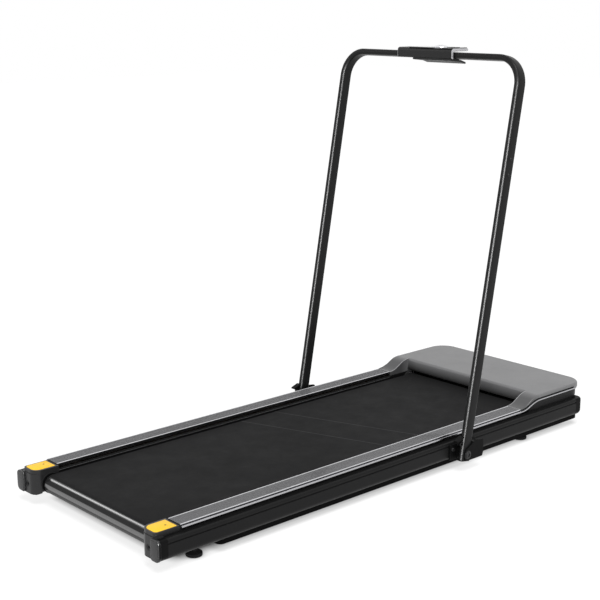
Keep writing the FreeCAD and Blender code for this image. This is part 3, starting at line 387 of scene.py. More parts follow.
RAIL_BLACK = grained("rail_black_paint", grey(0.0055), grey(0.007), (0.34, 0.42), 0.0005, 0.00002, shine=0.12)
BUMPER_BLACK = grained(
    "bumper_black_plastic", grey(0.004), grey(0.005), (0.4, 0.5), 0.0006, 0.00002, shine=0.05
)
HOOP_BLACK = grained(
    "hoop_black_paint", grey(0.0042), grey(0.0054), (0.36, 0.44), 0.0005, 0.00001, 0.05, shine=0.14
)
CAP_BLACK = cap_finish()
FITTING_BLACK = grained("fitting_black_plastic", grey(0.012), grey(0.016), (0.42, 0.52), shine=0.22)
HINGE_BLACK = grained("hinge_black_paint", grey(0.004), grey(0.0055), (0.4, 0.5), 0.0005, 0.00003, shine=0.05)
PLUG_BLACK = plug_finish()
PAN_BLACK = grained("pan_black_plastic", grey(0.0022), grey(0.0032), (0.6, 0.72), shine=0.04)
CASING_DARK = grained("casing_dark_plastic", grey(0.014), grey(0.018), (0.45, 0.55), shine=0.2)
HOOD_GREY = hood_finish()
PAD_YELLOW = grained(
    "pad_yellow_rubber", (0.93, 0.54, 0.016), (0.98, 0.60, 0.03), (0.36, 0.46), 0.0005, 0.00003, shine=0.3
)
FOOT_RUBBER = grained("foot_rubber", grey(0.01), grey(0.015), (0.7, 0.82), 0.0008, 0.00006, shine=0.2)
CONSOLE_GREY = grained(
    "console_grey_plastic", grey(0.012), grey(0.016), (0.34, 0.42), 0.0005, 0.00002, shine=0.2
)
# partly painted reflection: light silver for the end plates, lighter than the housing
CONSOLE_SILVER_AND_REFLECTION = grained(
    "console_silver_and_painted_reflection", grey(0.5), grey(0.56), (0.26, 0.34), 0.0005, 0.00001, 0.2, metal=0.4
)
CONSOLE_GLOSS = grained(
    "console_gloss_plastic", grey(0.01), grey(0.013), (0.1, 0.16), 0.0005, 0.00001, 0.1, coat=0.5
)
DISPLAY_DARK = grained(
    "display_dark_window", grey(0.005), grey(0.007), (0.05, 0.09), 0.0005, 0.000005, 0.05, coat=0.6
)
STRIP_METAL = drawn("strip_aluminium", grey(0.16), grey(0.2), (0.17, 0.25))
STRIP_EDGE = drawn("strip_edge_aluminium", grey(0.62), grey(0.72), (0.28, 0.36))
# painted highlight: the ramp edge beads are coloured far lighter than the hood
HOOD_EDGE_HIGHLIGHT = grained("hood_edge_painted_highlight", grey(0.3), grey(0.34), (0.24, 0.3), 0.0006, 0.00001, 0.2)
# painted shade: near black strip that stands for the shadow in the gap under the hood's edge
SEAM_SHADE_BLACK = grained("hood_gap_painted_shade", grey(0.006), grey(0.009), (0.6, 0.7), 0.0006, 0.00002, shine=0.1)
TRIM_BRIGHT = trim_finish()
STEEL = drawn("machined_steel", grey(0.42), grey(0.56), (0.28, 0.4))
POLISHED = grained("polished_button", grey(0.72), grey(0.78), (0.2, 0.28), 0.0004, 0.000005, 0.1, metal=1.0)
SCREW_BLACK = grained("screw_black_oxide", grey(0.02), grey(0.03), (0.34, 0.46), 0.0004, 0.00002, metal=0.6)
DECK_BOARD = drawn(
    "deck_board", (0.2, 0.13, 0.075), (0.3, 0.2, 0.12), (0.55, 0.7), 0.0012, 0.00005, 0.4, metal=0.0
)
MARK_WHITE = grained("mark_white_print", grey(0.6), grey(0.66), (0.4, 0.5))
BELT_RUBBER = belt_finish()

FINISHES = {
    RAIL_BLACK: ["side_rail_L", "side_rail_R"],
    BUMPER_BLACK: ["front_bumper_L", "front_bumper_R"],
    HOOP_BLACK: ["handrail_top", "handrail_post_L", "handrail_post_R"],
    HINGE_BLACK: ["hinge_bracket_L", "hinge_bracket_R", "fold_lever_L", "fold_lever_R", "post_end_plugs"],
    CAP_BLACK: ["rear_end_cap_L", "rear_end_cap_R"],
    FITTING_BLACK: [
        "console_clamp", "wheel_brackets", "power_inlet", "power_rocker",
        "motor_controller", "motor_housing", "cross_members",
    ],
    PAN_BLACK: ["belly_pan"],
    CASING_DARK: ["front_casing"],
    HOOD_GREY: ["hood_panel"],
    PAD_YELLOW: ["corner_pad_L", "corner_pad_R"],
    FOOT_RUBBER: ["rubber_feet", "deck_cushions", "drive_belt", "transport_wheel_L", "transport_wheel_R"],
    CONSOLE_GREY: ["console_housing", "plus_key", "minus_key"],
    CONSOLE_GLOSS: ["console_cover"],
    DISPLAY_DARK: ["display_window"],
    POLISHED: ["start_button"],
    STRIP_METAL: ["foot_strip_L", "foot_strip_R"],
    TRIM_BRIGHT: ["edge_trim_L", "edge_trim_R"],
    STEEL: [
        "rear_roller", "front_roller", "rear_axle", "front_axle", "rear_bearings", "front_bearings",
        "roller_pulley", "motor_pulley", "motor_rotor", "wheel_axles", "post_joiners",
    ],
    SCREW_BLACK: ["tension_bolts", "pad_screws", "bracket_screws", "joiner_screws", "pivot_bolts"],
    DECK_BOARD: ["running_deck"],
    BELT_RUBBER: ["running_belt"],
}


def dress_nodes():
    for material, names in FINISHES.items():
        for name in names:
            slots = nodes[name].data.materials
            slots.clear()
            slots.append(material)


# Geometry node trees

def make_screw_heads():
    """A coned head with a cross recess on every point, turned to face the point's facing vector."""
    tree, given, result = new_group(
        "screw_heads",
        "GeometryNodeTree",
        [
            ("Geometry", "Geometry", None),
            ("Head radius", "Float", 0.0045),
            ("Head height", "Float", 0.002),
            ("Recess width", "Float", 0.0012),
            ("Recess depth", "Float", 0.001),
            ("Material", "Material", None),
        ],
        [("Geometry", "Geometry")],
    )
    radius, height = given.outputs["Head radius"], given.outputs["Head height"]
    width = given.outputs["Recess width"]
    crown = times(tree, radius, 0.78)
    head = add(tree, "GeometryNodeMeshCone")
    feed(tree, head, Vertices=28, Radius_Top=crown, Radius_Bottom=radius, Depth=height)
    # One arm of the cross is a little less deep, so that no two faces of the cut lie in one plane
    deep = times(tree, given.outputs["Recess depth"], 2.0)
    shallow = times(tree, deep, 0.92)
    across = times(tree, radius, 1.15)
    arms = add(tree, "GeometryNodeJoinGeometry")
    for x, y, z in ((across, width, deep), (width, across, shallow)):
        arm = fed(tree, "GeometryNodeMeshCube", Size=vector_of(tree, X=x, Y=y, Z=z))
        tree.links.new(arm.outputs["Mesh"], arms.inputs[0])
    raised = fed(tree, "GeometryNodeTransform", Geometry=arms.outputs[0], Translation=vector_of(tree, Z=height))
    cut = feed(
        tree,
        add(tree, "GeometryNodeMeshBoolean", operation="DIFFERENCE", solver="EXACT"),
        Mesh_1=head.outputs["Mesh"],
        Mesh_2=raised.outputs["Geometry"],
        Self_Intersection=True,
    )
    facing = feed(tree, add(tree, "GeometryNodeInputNamedAttribute", data_type="FLOAT_VECTOR"), Name="facing")
    turn = add(tree, "FunctionNodeAlignRotationToVector", axis="Z")
    feed(tree, turn, Vector=facing.outputs["Attribute"])
    points = fed(tree, "GeometryNodeMeshToPoints", Mesh=given.outputs["Geometry"])
    placed = fed(
        tree,
        "GeometryNodeInstanceOnPoints",
        Points=points.outputs["Points"],
        Instance=cut.outputs["Mesh"],
        Rotation=turn.outputs["Rotation"],
    )
    finish_tree(tree, placed.outputs["Instances"], given, result)
    return tree


def make_ribs():
    """Straight round ribs side by side, each as long as the strip."""
    tree, given, result = new_group(
        "strip_ribs",
        "GeometryNodeTree",
        [
            ("Geometry", "Geometry", None),
            ("Start", "Vector", None),
            ("Rib count", "Int", 12),
            ("Rib spacing", "Float", 0.003),
            ("Rib length", "Float", 1.0),
            ("Rib radius", "Float", 0.0006),
            ("Material", "Material", None),
        ],
        [("Geometry", "Geometry")],
    )
    row = fed(
        tree,
        "GeometryNodeMeshLine",
        Count=given.outputs["Rib count"],
        Start_Location=given.outputs["Start"],
        Offset=vector_of(tree, Y=given.outputs["Rib spacing"]),
    )
    end = vector_of(tree, X=given.outputs["Rib length"])
    line = fed(tree, "GeometryNodeCurvePrimitiveLine", End=end)
    ring = add(tree, "GeometryNodeCurvePrimitiveCircle")
    feed(tree, ring, Resolution=10, Radius=given.outputs["Rib radius"])
    rib = fed(
        tree,
        "GeometryNodeCurveToMesh",
        Curve=line.outputs["Curve"],
        Profile_Curve=ring.outputs["Curve"],
        Fill_Caps=True,
    )
    placed = fed(tree, "GeometryNodeInstanceOnPoints", Points=row.outputs["Mesh"], Instance=rib.outputs["Mesh"])
    finish_tree(tree, placed.outputs["Instances"], given, result)
    return tree


def make_spokes():
    """Flat spokes round a wheel that turns about Y."""
    tree, given, result = new_group(
        "wheel_spokes",
        "GeometryNodeTree",
        [
            ("Geometry", "Geometry", None),
            ("Centre", "Vector", None),
            ("Spoke count", "Int", 6),
            ("Middle radius", "Float", 0.0105),
            ("Spoke size", "Vector", None),
            ("Material", "Material", None),
        ],
        [("Geometry", "Geometry")],
    )
    ring = add(tree, "GeometryNodeMeshCircle")
    feed(tree, ring, Vertices=given.outputs["Spoke count"], Radius=given.outputs["Middle radius"])
    place = add(tree, "GeometryNodeInputPosition")
    turn = feed(tree, add(tree, "FunctionNodeAlignRotationToVector", axis="X"), Vector=place.outputs[0])
    spoke = fed(tree, "GeometryNodeMeshCube", Size=given.outputs["Spoke size"])
    placed = fed(
        tree,
        "GeometryNodeInstanceOnPoints",
        Points=ring.outputs["Mesh"],
        Instance=spoke.outputs["Mesh"],
        Rotation=turn.outputs["Rotation"],
    )
    upright = fed(
        tree,
        "GeometryNodeTransform",
        Geometry=placed.outputs["Instances"],
        Rotation=(math.pi / 2, 0.0, 0.0),
        Translation=given.outputs["Centre"],
    )
    finish_tree(tree, upright.outputs["Geometry"], given, result)
    return tree


def finish_tree(tree, geometry, given, result):
    real = fed(tree, "GeometryNodeRealizeInstances", Geometry=geometry)
    coloured = add(tree, "GeometryNodeSetMaterial")
    feed(tree, coloured, Geometry=real.outputs[0], Material=given.outputs["Material"])
    feed(tree, result, Geometry=coloured.outputs[0])


SCREW_HEADS = make_screw_heads()
STRIP_RIBS = make_ribs()
WHEEL_SPOKES = make_spokes()


# Making and placing pieces

def keep(piece, body, stands_for=(), sharp=32.0):
    """Smooth a finished piece between its sharp edges and set it on its body."""
    piece.data.shade_smooth()
    piece.data.set_sharp_from_angle(angle=math.radians(sharp))
    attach(piece, body)
    if stands_for:
        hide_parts(*stands_for)
    return piece


def piece_from(name, shape, material, body, stands_for=(), sharp=32.0):
    bmesh.ops.remove_doubles(shape, verts=shape.verts, dist=1e-6)
    bmesh.ops.recalc_face_normals(shape, faces=shape.faces)
    mesh = bpy.data.meshes.new(name)
    shape.to_mesh(mesh)
    shape.free()
    mesh.materials.append(material)
    piece = bpy.data.objects.new(name, mesh)
    scene.collection.objects.link(piece)
    return keep(piece, body, stands_for, sharp)


def grown(name, tree, start_mesh, values, body, stands_for=(), sharp=32.0):
    """Run a geometry node tree once and keep its result as a plain mesh."""
    piece = bpy.data.objects.new(name, start_mesh)
    scene.collection.objects.link(piece)
    modifier = piece.modifiers.new("maker", "NODES")
    modifier.node_group = tree
    for item in tree.interface.items_tree:
        if item.item_type == "SOCKET" and item.in_out == "INPUT" and item.name in values:
            modifier[item.identifier] = values[item.name]
    made = bpy.data.meshes.new_from_object(piece.evaluated_get(bpy.context.evaluated_depsgraph_get()))
    piece.modifiers.remove(modifier)
    piece.data = made
    made.name = name
    return keep(piece, body, stands_for, sharp)


def facing_points(name, places):
    """Points with the direction that each one faces."""
    mesh = bpy.data.meshes.new(name)
    mesh.from_pydata([place for place, _ in places], [], [])
    attribute = mesh.attributes.new("facing", "FLOAT_VECTOR", "POINT")
    for item, (_, direction) in zip(attribute.data, places):
        item.vector = direction
    return mesh


def frame_about(axis):
    axis = Vector(axis).normalized()
    side = axis.orthogonal().normalized()
    return side, axis.cross(side), axis


def turned(shape, profile, origin, axis, segments=40, closed=False):
    """Rings of (radius, height) round an axis, or (radius, height, sides) for a ring with flat sides.

    A closed profile makes a ring, an open one ends on the axis.
    """
    side, other, along = frame_about(axis)
    rings = []
    for radius, height, *sides in profile:
        centre = Vector(origin) + along * height
        if radius < 1e-7:
            rings.append([shape.verts.new(centre)])
            continue
        ring = []
        for i in range(segments):
            angle = 2 * math.pi * i / segments
            reach = radius
            if sides:
                half = math.pi / sides[0]
                reach = radius * math.cos(half) / math.cos(angle % (2 * half) - half)
            ring.append(shape.verts.new(centre + (side * math.cos(angle) + other * math.sin(angle)) * reach))
        rings.append(ring)
    pairs = list(zip(rings, rings[1:]))
    if closed:
        pairs.append((rings[-1], rings[0]))
    for first, second in pairs:
        for i in range(segments):
            j = (i + 1) % segments
            corners = [ring[k % len(ring)] for ring, k in ((first, i), (first, j), (second, j), (second, i))]
            kept = [v for k, v in enumerate(corners) if v not in corners[:k]]
            if len(kept) > 2:
                shape.faces.new(kept)


def in_mm(rows):
    """Rows of numbers in millimetres, as tuples in metres."""
    return [tuple(value * MM for value in row) for row in rows]


def rounded(corners, steps=8):
    """Points of a closed outline; a corner's third number is its radius."""
    points = []
    for i, corner in enumerate(corners):
        here = Vector(corner[:2])
        radius = corner[2] if len(corner) > 2 else 0.0
        if radius == 0.0:
            points.append(here)
            continue
        before = (Vector(corners[i - 1][:2]) - here).normalized()
        after = (Vector(corners[(i + 1) % len(corners)][:2]) - here).normalized()
        half = before.angle(after) / 2
        centre = here + (before + after).normalized() * radius / math.sin(half)
        first = here + before * radius / math.tan(half) - centre
        last = here + after * radius / math.tan(half) - centre
        whole = first.angle_signed(last)
        for k in range(steps + 1):
            turn = -whole * k / steps
            points.append(centre + Matrix.Rotation(turn, 2) @ first)
    return points


def soft_plate(shape, points, to_space, low, high, edge, segments=3):
    """A flat plate with rounded rims; to_space(a, b, level) puts the outline in space."""
    bottom = [shape.verts.new(to_space(p[0], p[1], low)) for p in points]
    top = [shape.verts.new(to_space(p[0], p[1], high)) for p in points]
    faces = [shape.faces.new(bottom), shape.faces.new(top)]
    for i in range(len(points)):
        j = (i + 1) % len(points)
        shape.faces.new([bottom[i], bottom[j], top[j], top[i]])
    rims = [e for face in faces for e in face.edges]
    if edge:
        bmesh.ops.recalc_face_normals(shape, faces=shape.faces)
        bmesh.ops.bevel(shape, geom=rims, offset=edge, segments=segments, profile=0.5, affect="EDGES")


def flat(a, b, level):
    return Vector((a, b, level))


def from_side(a, b, level):
    return Vector((a, level, b))


def from_front(a, b, level):
    return Vector((level, a, b))


def soft_bar(shape, low, high, edge):
    points = [(low[0], low[1]), (high[0], low[1]), (high[0], high[1]), (low[0], high[1])]
    soft_plate(shape, points, flat, low[2], high[2], edge, 2)


# Base

def rib_row(name, start, count, spacing, length, radius, material):
    """Ribs side by side on the base, each from its start along X."""
    values = {
        "Start": start,
        "Rib count": count,
        "Rib spacing": spacing,
        "Rib length": length,
        "Rib radius": radius,
        "Material": material,
    }
    grown(name, STRIP_RIBS, bpy.data.meshes.new(name + "_start"), values, "base", sharp=60.0)


def screw_heads(name, places, sizes, body, stands_for=()):
    """Cross-head screws; sizes are head radius and height, then recess width and depth."""
    values = dict(zip(("Head radius", "Head height", "Recess width", "Recess depth"), sizes))
    values["Material"] = SCREW_BLACK
    grown(name, SCREW_HEADS, facing_points(name + "_places", places), values, body, stands_for)


def strip_ribs():
    """Fine ribs and two bright edge beads on both foot strips, and the lip on the inner wall of each rail."""
    border = 4.2 * MM
    rib_count, rib_radius, rib_sink = 14, 0.75 * MM, 0.2 * MM
    bead_radius, bead_sink = 1.3 * MM, 0.5 * MM
    lip_radius, lip_drop = 0.6 * MM, 4.8 * MM
    for side in ("L", "R"):
        low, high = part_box("foot_strip_" + side)
        length = high[0] - low[0]
        width = high[1] - low[1]
        start = (low[0], low[1] + border, high[2] - rib_sink)
        spacing = (width - 2 * border) / (rib_count - 1)
        rib_row("foot_strip_ribs_" + side, start, rib_count, spacing, length, rib_radius, STRIP_METAL)
        start = (low[0], low[1] + bead_radius, high[2] - bead_sink)
        spacing = width - 2 * bead_radius
        rib_row("foot_strip_beads_" + side, start, 2, spacing, length, bead_radius, STRIP_EDGE)
        rail_low, rail_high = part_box("side_rail_" + side)
        inner = rail_low[1] if side == "L" else rail_high[1]
        start = (low[0], inner, rail_high[2] - lip_drop)
        rib_row("rail_inner_lip_" + side, start, 1, MM, length, lip_radius, STRIP_METAL)


def rail_end_plugs():
    """Domed plugs in the rear ends of the rails."""
    low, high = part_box("rear_end_cap_L")
    for side, sign in (("L", 1), ("R", -1)):
        inner, outer = 258.5 * MM, high[1] + 0.4 * MM
        bottom, top = low[2] - 0.6 * MM, 79.0 * MM
        corners = [
            (inner, bottom, 7.0 * MM),
            (outer, bottom, 13.0 * MM),
            (outer, top, 9.0 * MM),
            (inner, top, 5.0 * MM),
        ]
        shape = bmesh.new()
        points = [(p[0] * sign, p[1]) for p in rounded(corners, 10)]
        soft_plate(shape, points, from_front, low[0] - 2.2 * MM, low[0] + 7.0 * MM, 3.4 * MM, 5)
        piece_from("rail_end_plug_" + side, shape, PLUG_BLACK, "base", sharp=50.0)


def corner_pads():
    """Yellow rubber corner covers with a crowned rim."""
    front_radius = 1.5 * MM
    for side, right_radius, left_radius in (("L", 16.0 * MM, 8.0 * MM), ("R", 8.0 * MM, 16.0 * MM)):
        low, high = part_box("corner_pad_" + side)
        shape = bmesh.new()
        corners = [
            (low[0], low[1], right_radius),
            (high[0], low[1], front_radius),
            (high[0], high[1], front_radius),
            (low[0], high[1], left_radius),
        ]
        soft_plate(shape, rounded(corners), flat, low[2], high[2], 1.0 * MM)
        stands_for = ["corner_pad_" + side]
        piece_from("corner_pad_cover_" + side, shape, PAD_YELLOW, "base", stands_for)


def base_screws():
    """Cross-head screws in the corner pads, in the hinge brackets and under the belly pan."""
    low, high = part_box("pad_screws")
    x, y, z = (low[0] + high[0]) / 2, (high[1] - low[1]) / 2 - 2.4 * MM, high[2] - 0.9 * MM
    places = [((x, sign * y, z), (0, 0, 1)) for sign in (1, -1)]
    screw_heads("pad_screw_heads", places, (0.0028, 0.0012, 0.0008, 0.0007), "base", ["pad_screws"])

    low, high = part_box("bracket_screws")
    head = 5.5 * MM
    rear, front = low[0] + head, high[0] - head
    bottom, top = low[2] + head, high[2] - head
    y = high[1] - 4.0 * MM
    places = []
    for sign in (1, -1):
        for x, z in ((rear, top), (front, top), (front, bottom)):
            places.append(((x, sign * y, z), (0, sign, 0)))
    screw_heads("bracket_screw_heads", places, (head, 0.0038, 0.0016, 0.0018), "base", ["bracket_screws"])

    pan_low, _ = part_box("belly_pan")
    count, first, row, y = 7, pan_low[0] + 30.0 * MM, 1220.0 * MM, 232.0 * MM
    places = []
    for i in range(count):
        for sign in (1, -1):
            places.append(((first + row / (count - 1) * i, sign * y, pan_low[2]), (0, 0, -1)))
    screw_heads("pan_screw_heads", places, (0.0045, 0.0022, 0.0012, 0.0011), "base")


def pivot_bolt_heads():
    """Round bolt heads with a hexagon recess and a washer, on both hinge brackets."""
    low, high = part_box("pivot_bolts")
    x, z = (low[0] + high[0]) / 2, (low[2] + high[2]) / 2
    head_height = 4.5 * MM
    washer = in_mm([(0.0, 0.0), (11.2, 0.0), (11.2, 0.9), (10.7, 1.2), (0.0, 1.2)])
    outer = in_mm([(0.0, 1.2), (9.1, 1.2), (9.3, 2.6), (8.7, 3.9), (7.6, 4.5), (5.6, 4.5)])
    recess = [(0.0052, 0.0044, 6), (0.0048, 0.0026, 6), (0.0, 0.0022)]
    shank = in_mm([(0.0, 0.0), (5.9, 0.0), (5.9, -32.3), (0.0, -32.3)])
    shape = bmesh.new()
    for sign in (1, -1):
        origin, axis = (x, sign * (high[1] - head_height), z), (0, sign, 0)
        turned(shape, washer, origin, axis, 48)
        turned(shape, outer + recess, origin, axis, 48)
        turned(shape, shank, origin, axis, 32)
    piece_from("pivot_bolt_heads", shape, SCREW_BLACK, "base", ["pivot_bolts"])


def rubber_feet():
    """Four levelling feet: a ribbed rubber disc on a stem."""
    low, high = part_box("rubber_feet")
    pan_low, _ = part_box("belly_pan")
    radius, stem, rear_top = 19.0 * MM, 8.0 * MM, 29.0 * MM
    tread = [(0.0, 0.8), (10.0, 0.8), (10.4, 0.0), (13.4, 0.0), (13.8, 0.8), (14.4, 0.8), (14.8, 0.0)]
    wall = [(17.0, 0.0), (18.4, 0.6), (19.0, 2.0), (19.0, 3.2), (18.4, 3.5), (18.4, 4.0)]
    wall += [(19.0, 4.3), (19.0, 6.4), (18.4, 7.6), (17.2, 8.0)]
    shoulder = [(10.6, 11.2), (8.6, 12.0), (8.0, 12.6)]
    shape = bmesh.new()
    for sign in (1, -1):
        y = sign * (high[1] - radius)
        for x, top in ((low[0] + radius, rear_top), (high[0] - radius, pan_low[2])):
            profile = in_mm(tread + wall + shoulder) + [(stem, top), (0.0, top)]
            turned(shape, profile, (x, y, 0.0), (0, 0, 1), 48)
    piece_from("levelling_feet", shape, FOOT_RUBBER, "base", ["rubber_feet"], 28.0)


def climbing_band(low_level, rise, start, end, height):
    """Outline of a band that climbs the ramp between the strip level and the hood level."""
    foot, crest = start + 16.0 * MM, start + 63.0 * MM
    radius = 16.0 * MM / math.tan(math.atan2(rise, crest - foot) / 2)
    return [
        (start, low_level),
        (foot, low_level, radius),
        (crest, low_level + rise, radius),
        (end, low_level + rise),
        (end, low_level + rise + height),
        (crest, low_level + rise + height, radius),
        (foot, low_level + height, radius),
        (start, low_level + height),
    ]


def hood_edges():
    """Black strip in the gap between hood and trim as painted shade, and the moulded edge along each ramp and
    across its foot, coloured lighter than the hood as a painted highlight.
    """
    hood_low, hood_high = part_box("hood_panel")
    _, trim_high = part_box("edge_trim_L")
    _, strip_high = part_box("foot_strip_L")
    start, strip_top = hood_low[0], strip_high[2]
    trim_rise, ramp_rise = 18.0 * MM, hood_high[2] - strip_top
    seam_end, edge_end = hood_high[0] - 54.0 * MM, start + 81.0 * MM
    seam_band = rounded(climbing_band(trim_high[2] - trim_rise, trim_rise, start, seam_end, 3.0 * MM), 6)
    edge_band = rounded(climbing_band(strip_top - 1.2 * MM, ramp_rise, start, edge_end, 1.5 * MM), 6)
    seam = bmesh.new()
    edge = bmesh.new()
    for sign in (1, -1):
        side, inner = sign * hood_high[1], sign * 223.0 * MM
        # painted shade: black strip along the trim below the hood's edge
        soft_plate(seam, seam_band, from_side, side - sign * 0.5 * MM, side + sign * 0.4 * MM, 0.0)
        # painted highlight: moulded edge along the ramp, coloured lighter than the hood
        soft_plate(edge, edge_band, from_side, inner - sign * 0.3 * MM, inner + sign * 1.5 * MM, 0.0)
        y0, y1 = sorted((inner + sign * 2.0 * MM, side - sign * 3.0 * MM))
        foot_low = (start - 0.1 * MM, y0, strip_top - 1.0 * MM)
        foot_high = (start + 1.6 * MM, y1, strip_top + 0.3 * MM)
        soft_bar(edge, foot_low, foot_high, 0.3 * MM)
    piece_from("hood_gap_shade_strip", seam, SEAM_SHADE_BLACK, "base")
    piece_from("hood_ramp_edges", edge, HOOD_EDGE_HIGHLIGHT, "base")


def transport_wheels():
    """Wheels with a rounded tyre, a dished hub and six spokes."""
    tyre = [(13.2, -8.2), (16.6, -9.0), (18.2, -8.2), (19.0, -6.2), (19.0, -2.4), (18.5, -1.9)]
    tyre += [(radius, -height) for radius, height in reversed(tyre)]
    hub = [(4.05, -10.0), (7.2, -10.0), (8.0, -9.2), (8.0, 9.2), (7.2, 10.0), (4.05, 10.0)]
    web = [(7.8, -2.0), (13.4, -2.6), (13.4, 2.6), (7.8, 2.0)]
    for side in ("L", "R"):
        node = "transport_wheel_" + side
        low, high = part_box(node)
        centre = [(low[i] + high[i]) / 2 for i in range(3)]
        shape = bmesh.new()
        for profile, segments in ((tyre, 48), (hub, 40), (web, 40)):
            turned(shape, in_mm(profile), centre, (0, 1, 0), segments, closed=True)
        piece_from("wheel_tyre_" + side, shape, FOOT_RUBBER, node, [node])
        values = {
            "Centre": tuple(centre),
            "Spoke count": 6,
            "Middle radius": 0.0106,
            "Spoke size": (0.0066, 0.0022, 0.0124),
            "Material": FITTING_BLACK,
        }
        empty = bpy.data.meshes.new("wheel_spoke_start")
        grown("wheel_spokes_" + side, WHEEL_SPOKES, empty, values, node)


# Handrail

LEAN = math.radians(10.41)
TUBE_HALF = 8.0 * MM
PIVOT_X, _, PIVOT_Z = [(low + high) / 2 for low, high in zip(*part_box("pivot_bolts"))]


def on_hoop(a, y, along):
    """Place of a point of the leaning hoop: a across its plane, along its posts from the pivot."""
    x = PIVOT_X + a * math.cos(LEAN) + along * math.sin(LEAN)
    return Vector((x, y, PIVOT_Z - a * math.sin(LEAN) + along * math.cos(LEAN)))


def across_hoop(a, b, level):
    return on_hoop(a, level, b)


def hoop_tube(shape, path):
    """Flat-oval tube along a path of (y, along, outward y, outward along)."""
    depth, width, radius = 17.0 * MM, TUBE_HALF, 7.4 * MM
    corners = [(-depth, -width), (depth, -width), (depth, width), (-depth, width)]
    section = rounded([(a, b, radius) for a, b in corners], 8)
    rings = []
    for y, along, out_y, out_along in path:
        ring = [on_hoop(p[0], y + out_y * p[1], along + out_along * p[1]) for p in section]
        rings.append([shape.verts.new(point) for point in ring])
    for first, second in zip(rings, rings[1:]):
        for i in range(len(section)):
            j = (i + 1) % len(section)
            shape.faces.new([first[i], first[j], second[j], second[i]])
    shape.faces.new(rings[0])
    shape.faces.new(rings[-1])


def handrail_tubes():
    """Flat-oval tubes of the hoop: the upper bow and the two lower posts with the lugs of the fold levers."""
    _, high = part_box("handrail_top")
    side = high[1] - TUBE_HALF
    bend, bar_height, leg = 68.0 * MM, 1035.5 * MM, 201.0 * MM
    top = (bar_height - PIVOT_Z) / math.cos(LEAN)
    corner, start = side - bend, top - bend
    split = start - leg
    seam = 0.03 * MM
    half = [(side, split + seam, 1.0, 0.0)]
    steps = 20
    for i in range(steps + 1):
        angle = math.pi / 2 * i / steps
        across, along = math.cos(angle), math.sin(angle)
        half.append((corner + bend * across, start + bend * along, across, along))
    path = half + [(-y, along, -out_y, out_along) for y, along, out_y, out_along in reversed(half)]
    shape = bmesh.new()
    hoop_tube(shape, path)
    piece_from("handrail_bow", shape, HOOP_BLACK, "handrail", ["handrail_top"])

    foot = -16.0 * MM
    lug = [(-16.0, 22.0), (-28.0, 22.0, 4.8), (-28.0, 32.0, 4.8), (-16.0, 32.0)]
    outline = rounded(in_mm(lug), 8)
    for name, sign in (("L", 1), ("R", -1)):
        y = sign * side
        shape = bmesh.new()
        hoop_tube(shape, [(y, foot, sign, 0.0), (y, split - seam, sign, 0.0)])
        for near, far in in_mm(((3.0, 5.5), (-5.5, -3.0))):
            soft_plate(shape, outline, across_hoop, y + near, y + far, 0.4 * MM, 2)
        stands_for = ["handrail_post_" + name]
        piece_from("handrail_post_tube_" + name, shape, HOOP_BLACK, "handrail", stands_for)


def joiner_screw_heads():
    """Two cross-head screws on the outside of each post, above and below the sleeve joint."""
    low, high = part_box("joiner_screws")
    middle_x, middle_z = (low[0] + high[0]) / 2, (low[2] + high[2]) / 2
    reach, y = 20.0 * MM, high[1] - 2.0 * MM
    places = []
    for sign in (1, -1):
        for step in (-reach, reach):
            x, z = middle_x + step * math.sin(LEAN), middle_z + step * math.cos(LEAN)
            places.append(((x, sign * y, z), (0, sign, 0)))
    screw_heads("joiner_screw_heads", places, (0.0045, 0.002, 0.0012, 0.0011), "handrail", ["joiner_screws"])


def console_ends():
    """Silver end plates that follow the hook shape of the console housing; their light silver is partly the
    plates' own colour and partly a painted reflection of the lit end face.
    """
    low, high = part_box("console_housing")
    arm, wall, proud, sunk = 7.6 * MM, 6.6 * MM, 0.9 * MM, 0.4 * MM
    rear, front, top, bottom = low[0], high[0], high[2], low[2]
    corners = [
        (rear, bottom, 3.0 * MM),
        (rear, top, 8.0 * MM),
        (front, top, 2.6 * MM),
        (front, top - arm, 2.6 * MM),
        (rear + wall, top - arm, 4.0 * MM),
        (rear + wall, bottom, 1.5 * MM),
    ]
    for name, y0, y1 in (("R", low[1] - proud, low[1] + sunk), ("L", high[1] - sunk, high[1] + proud)):
        shape = bmesh.new()
        soft_plate(shape, rounded(corners, 6), from_side, y0, y1, 0.35 * MM, 2)
        piece_from("console_end_" + name, shape, CONSOLE_SILVER_AND_REFLECTION, "handrail")


DOME_RISE = 1.0 * MM


def start_button_dome():
    """Polished domed button in a bright ring."""
    low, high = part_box("start_button")
    x, y = (low[0] + high[0]) / 2, (low[1] + high[1]) / 2
    radius = (high[0] - low[0]) / 2
    dome_radius, crown = radius * 0.95, 4.0 * MM
    foot, rise = high[2] - low[2] - crown, crown + DOME_RISE
    profile = [(0.0, 0.0), (radius, 0.0), (radius, foot - 0.4 * MM), (radius * 0.985, foot)]
    profile.append((dome_radius, foot))
    steps = 12
    for i in range(1, steps):
        angle = math.pi / 2 * i / steps
        profile.append((dome_radius * math.cos(angle), foot + rise * math.sin(angle)))
    profile.append((0.0, foot + rise))
    shape = bmesh.new()
    turned(shape, profile, (x, y, low[2]), (0, 0, 1), 64)
    piece_from("start_button_dome", shape, POLISHED, "start_button", ["start_button"])


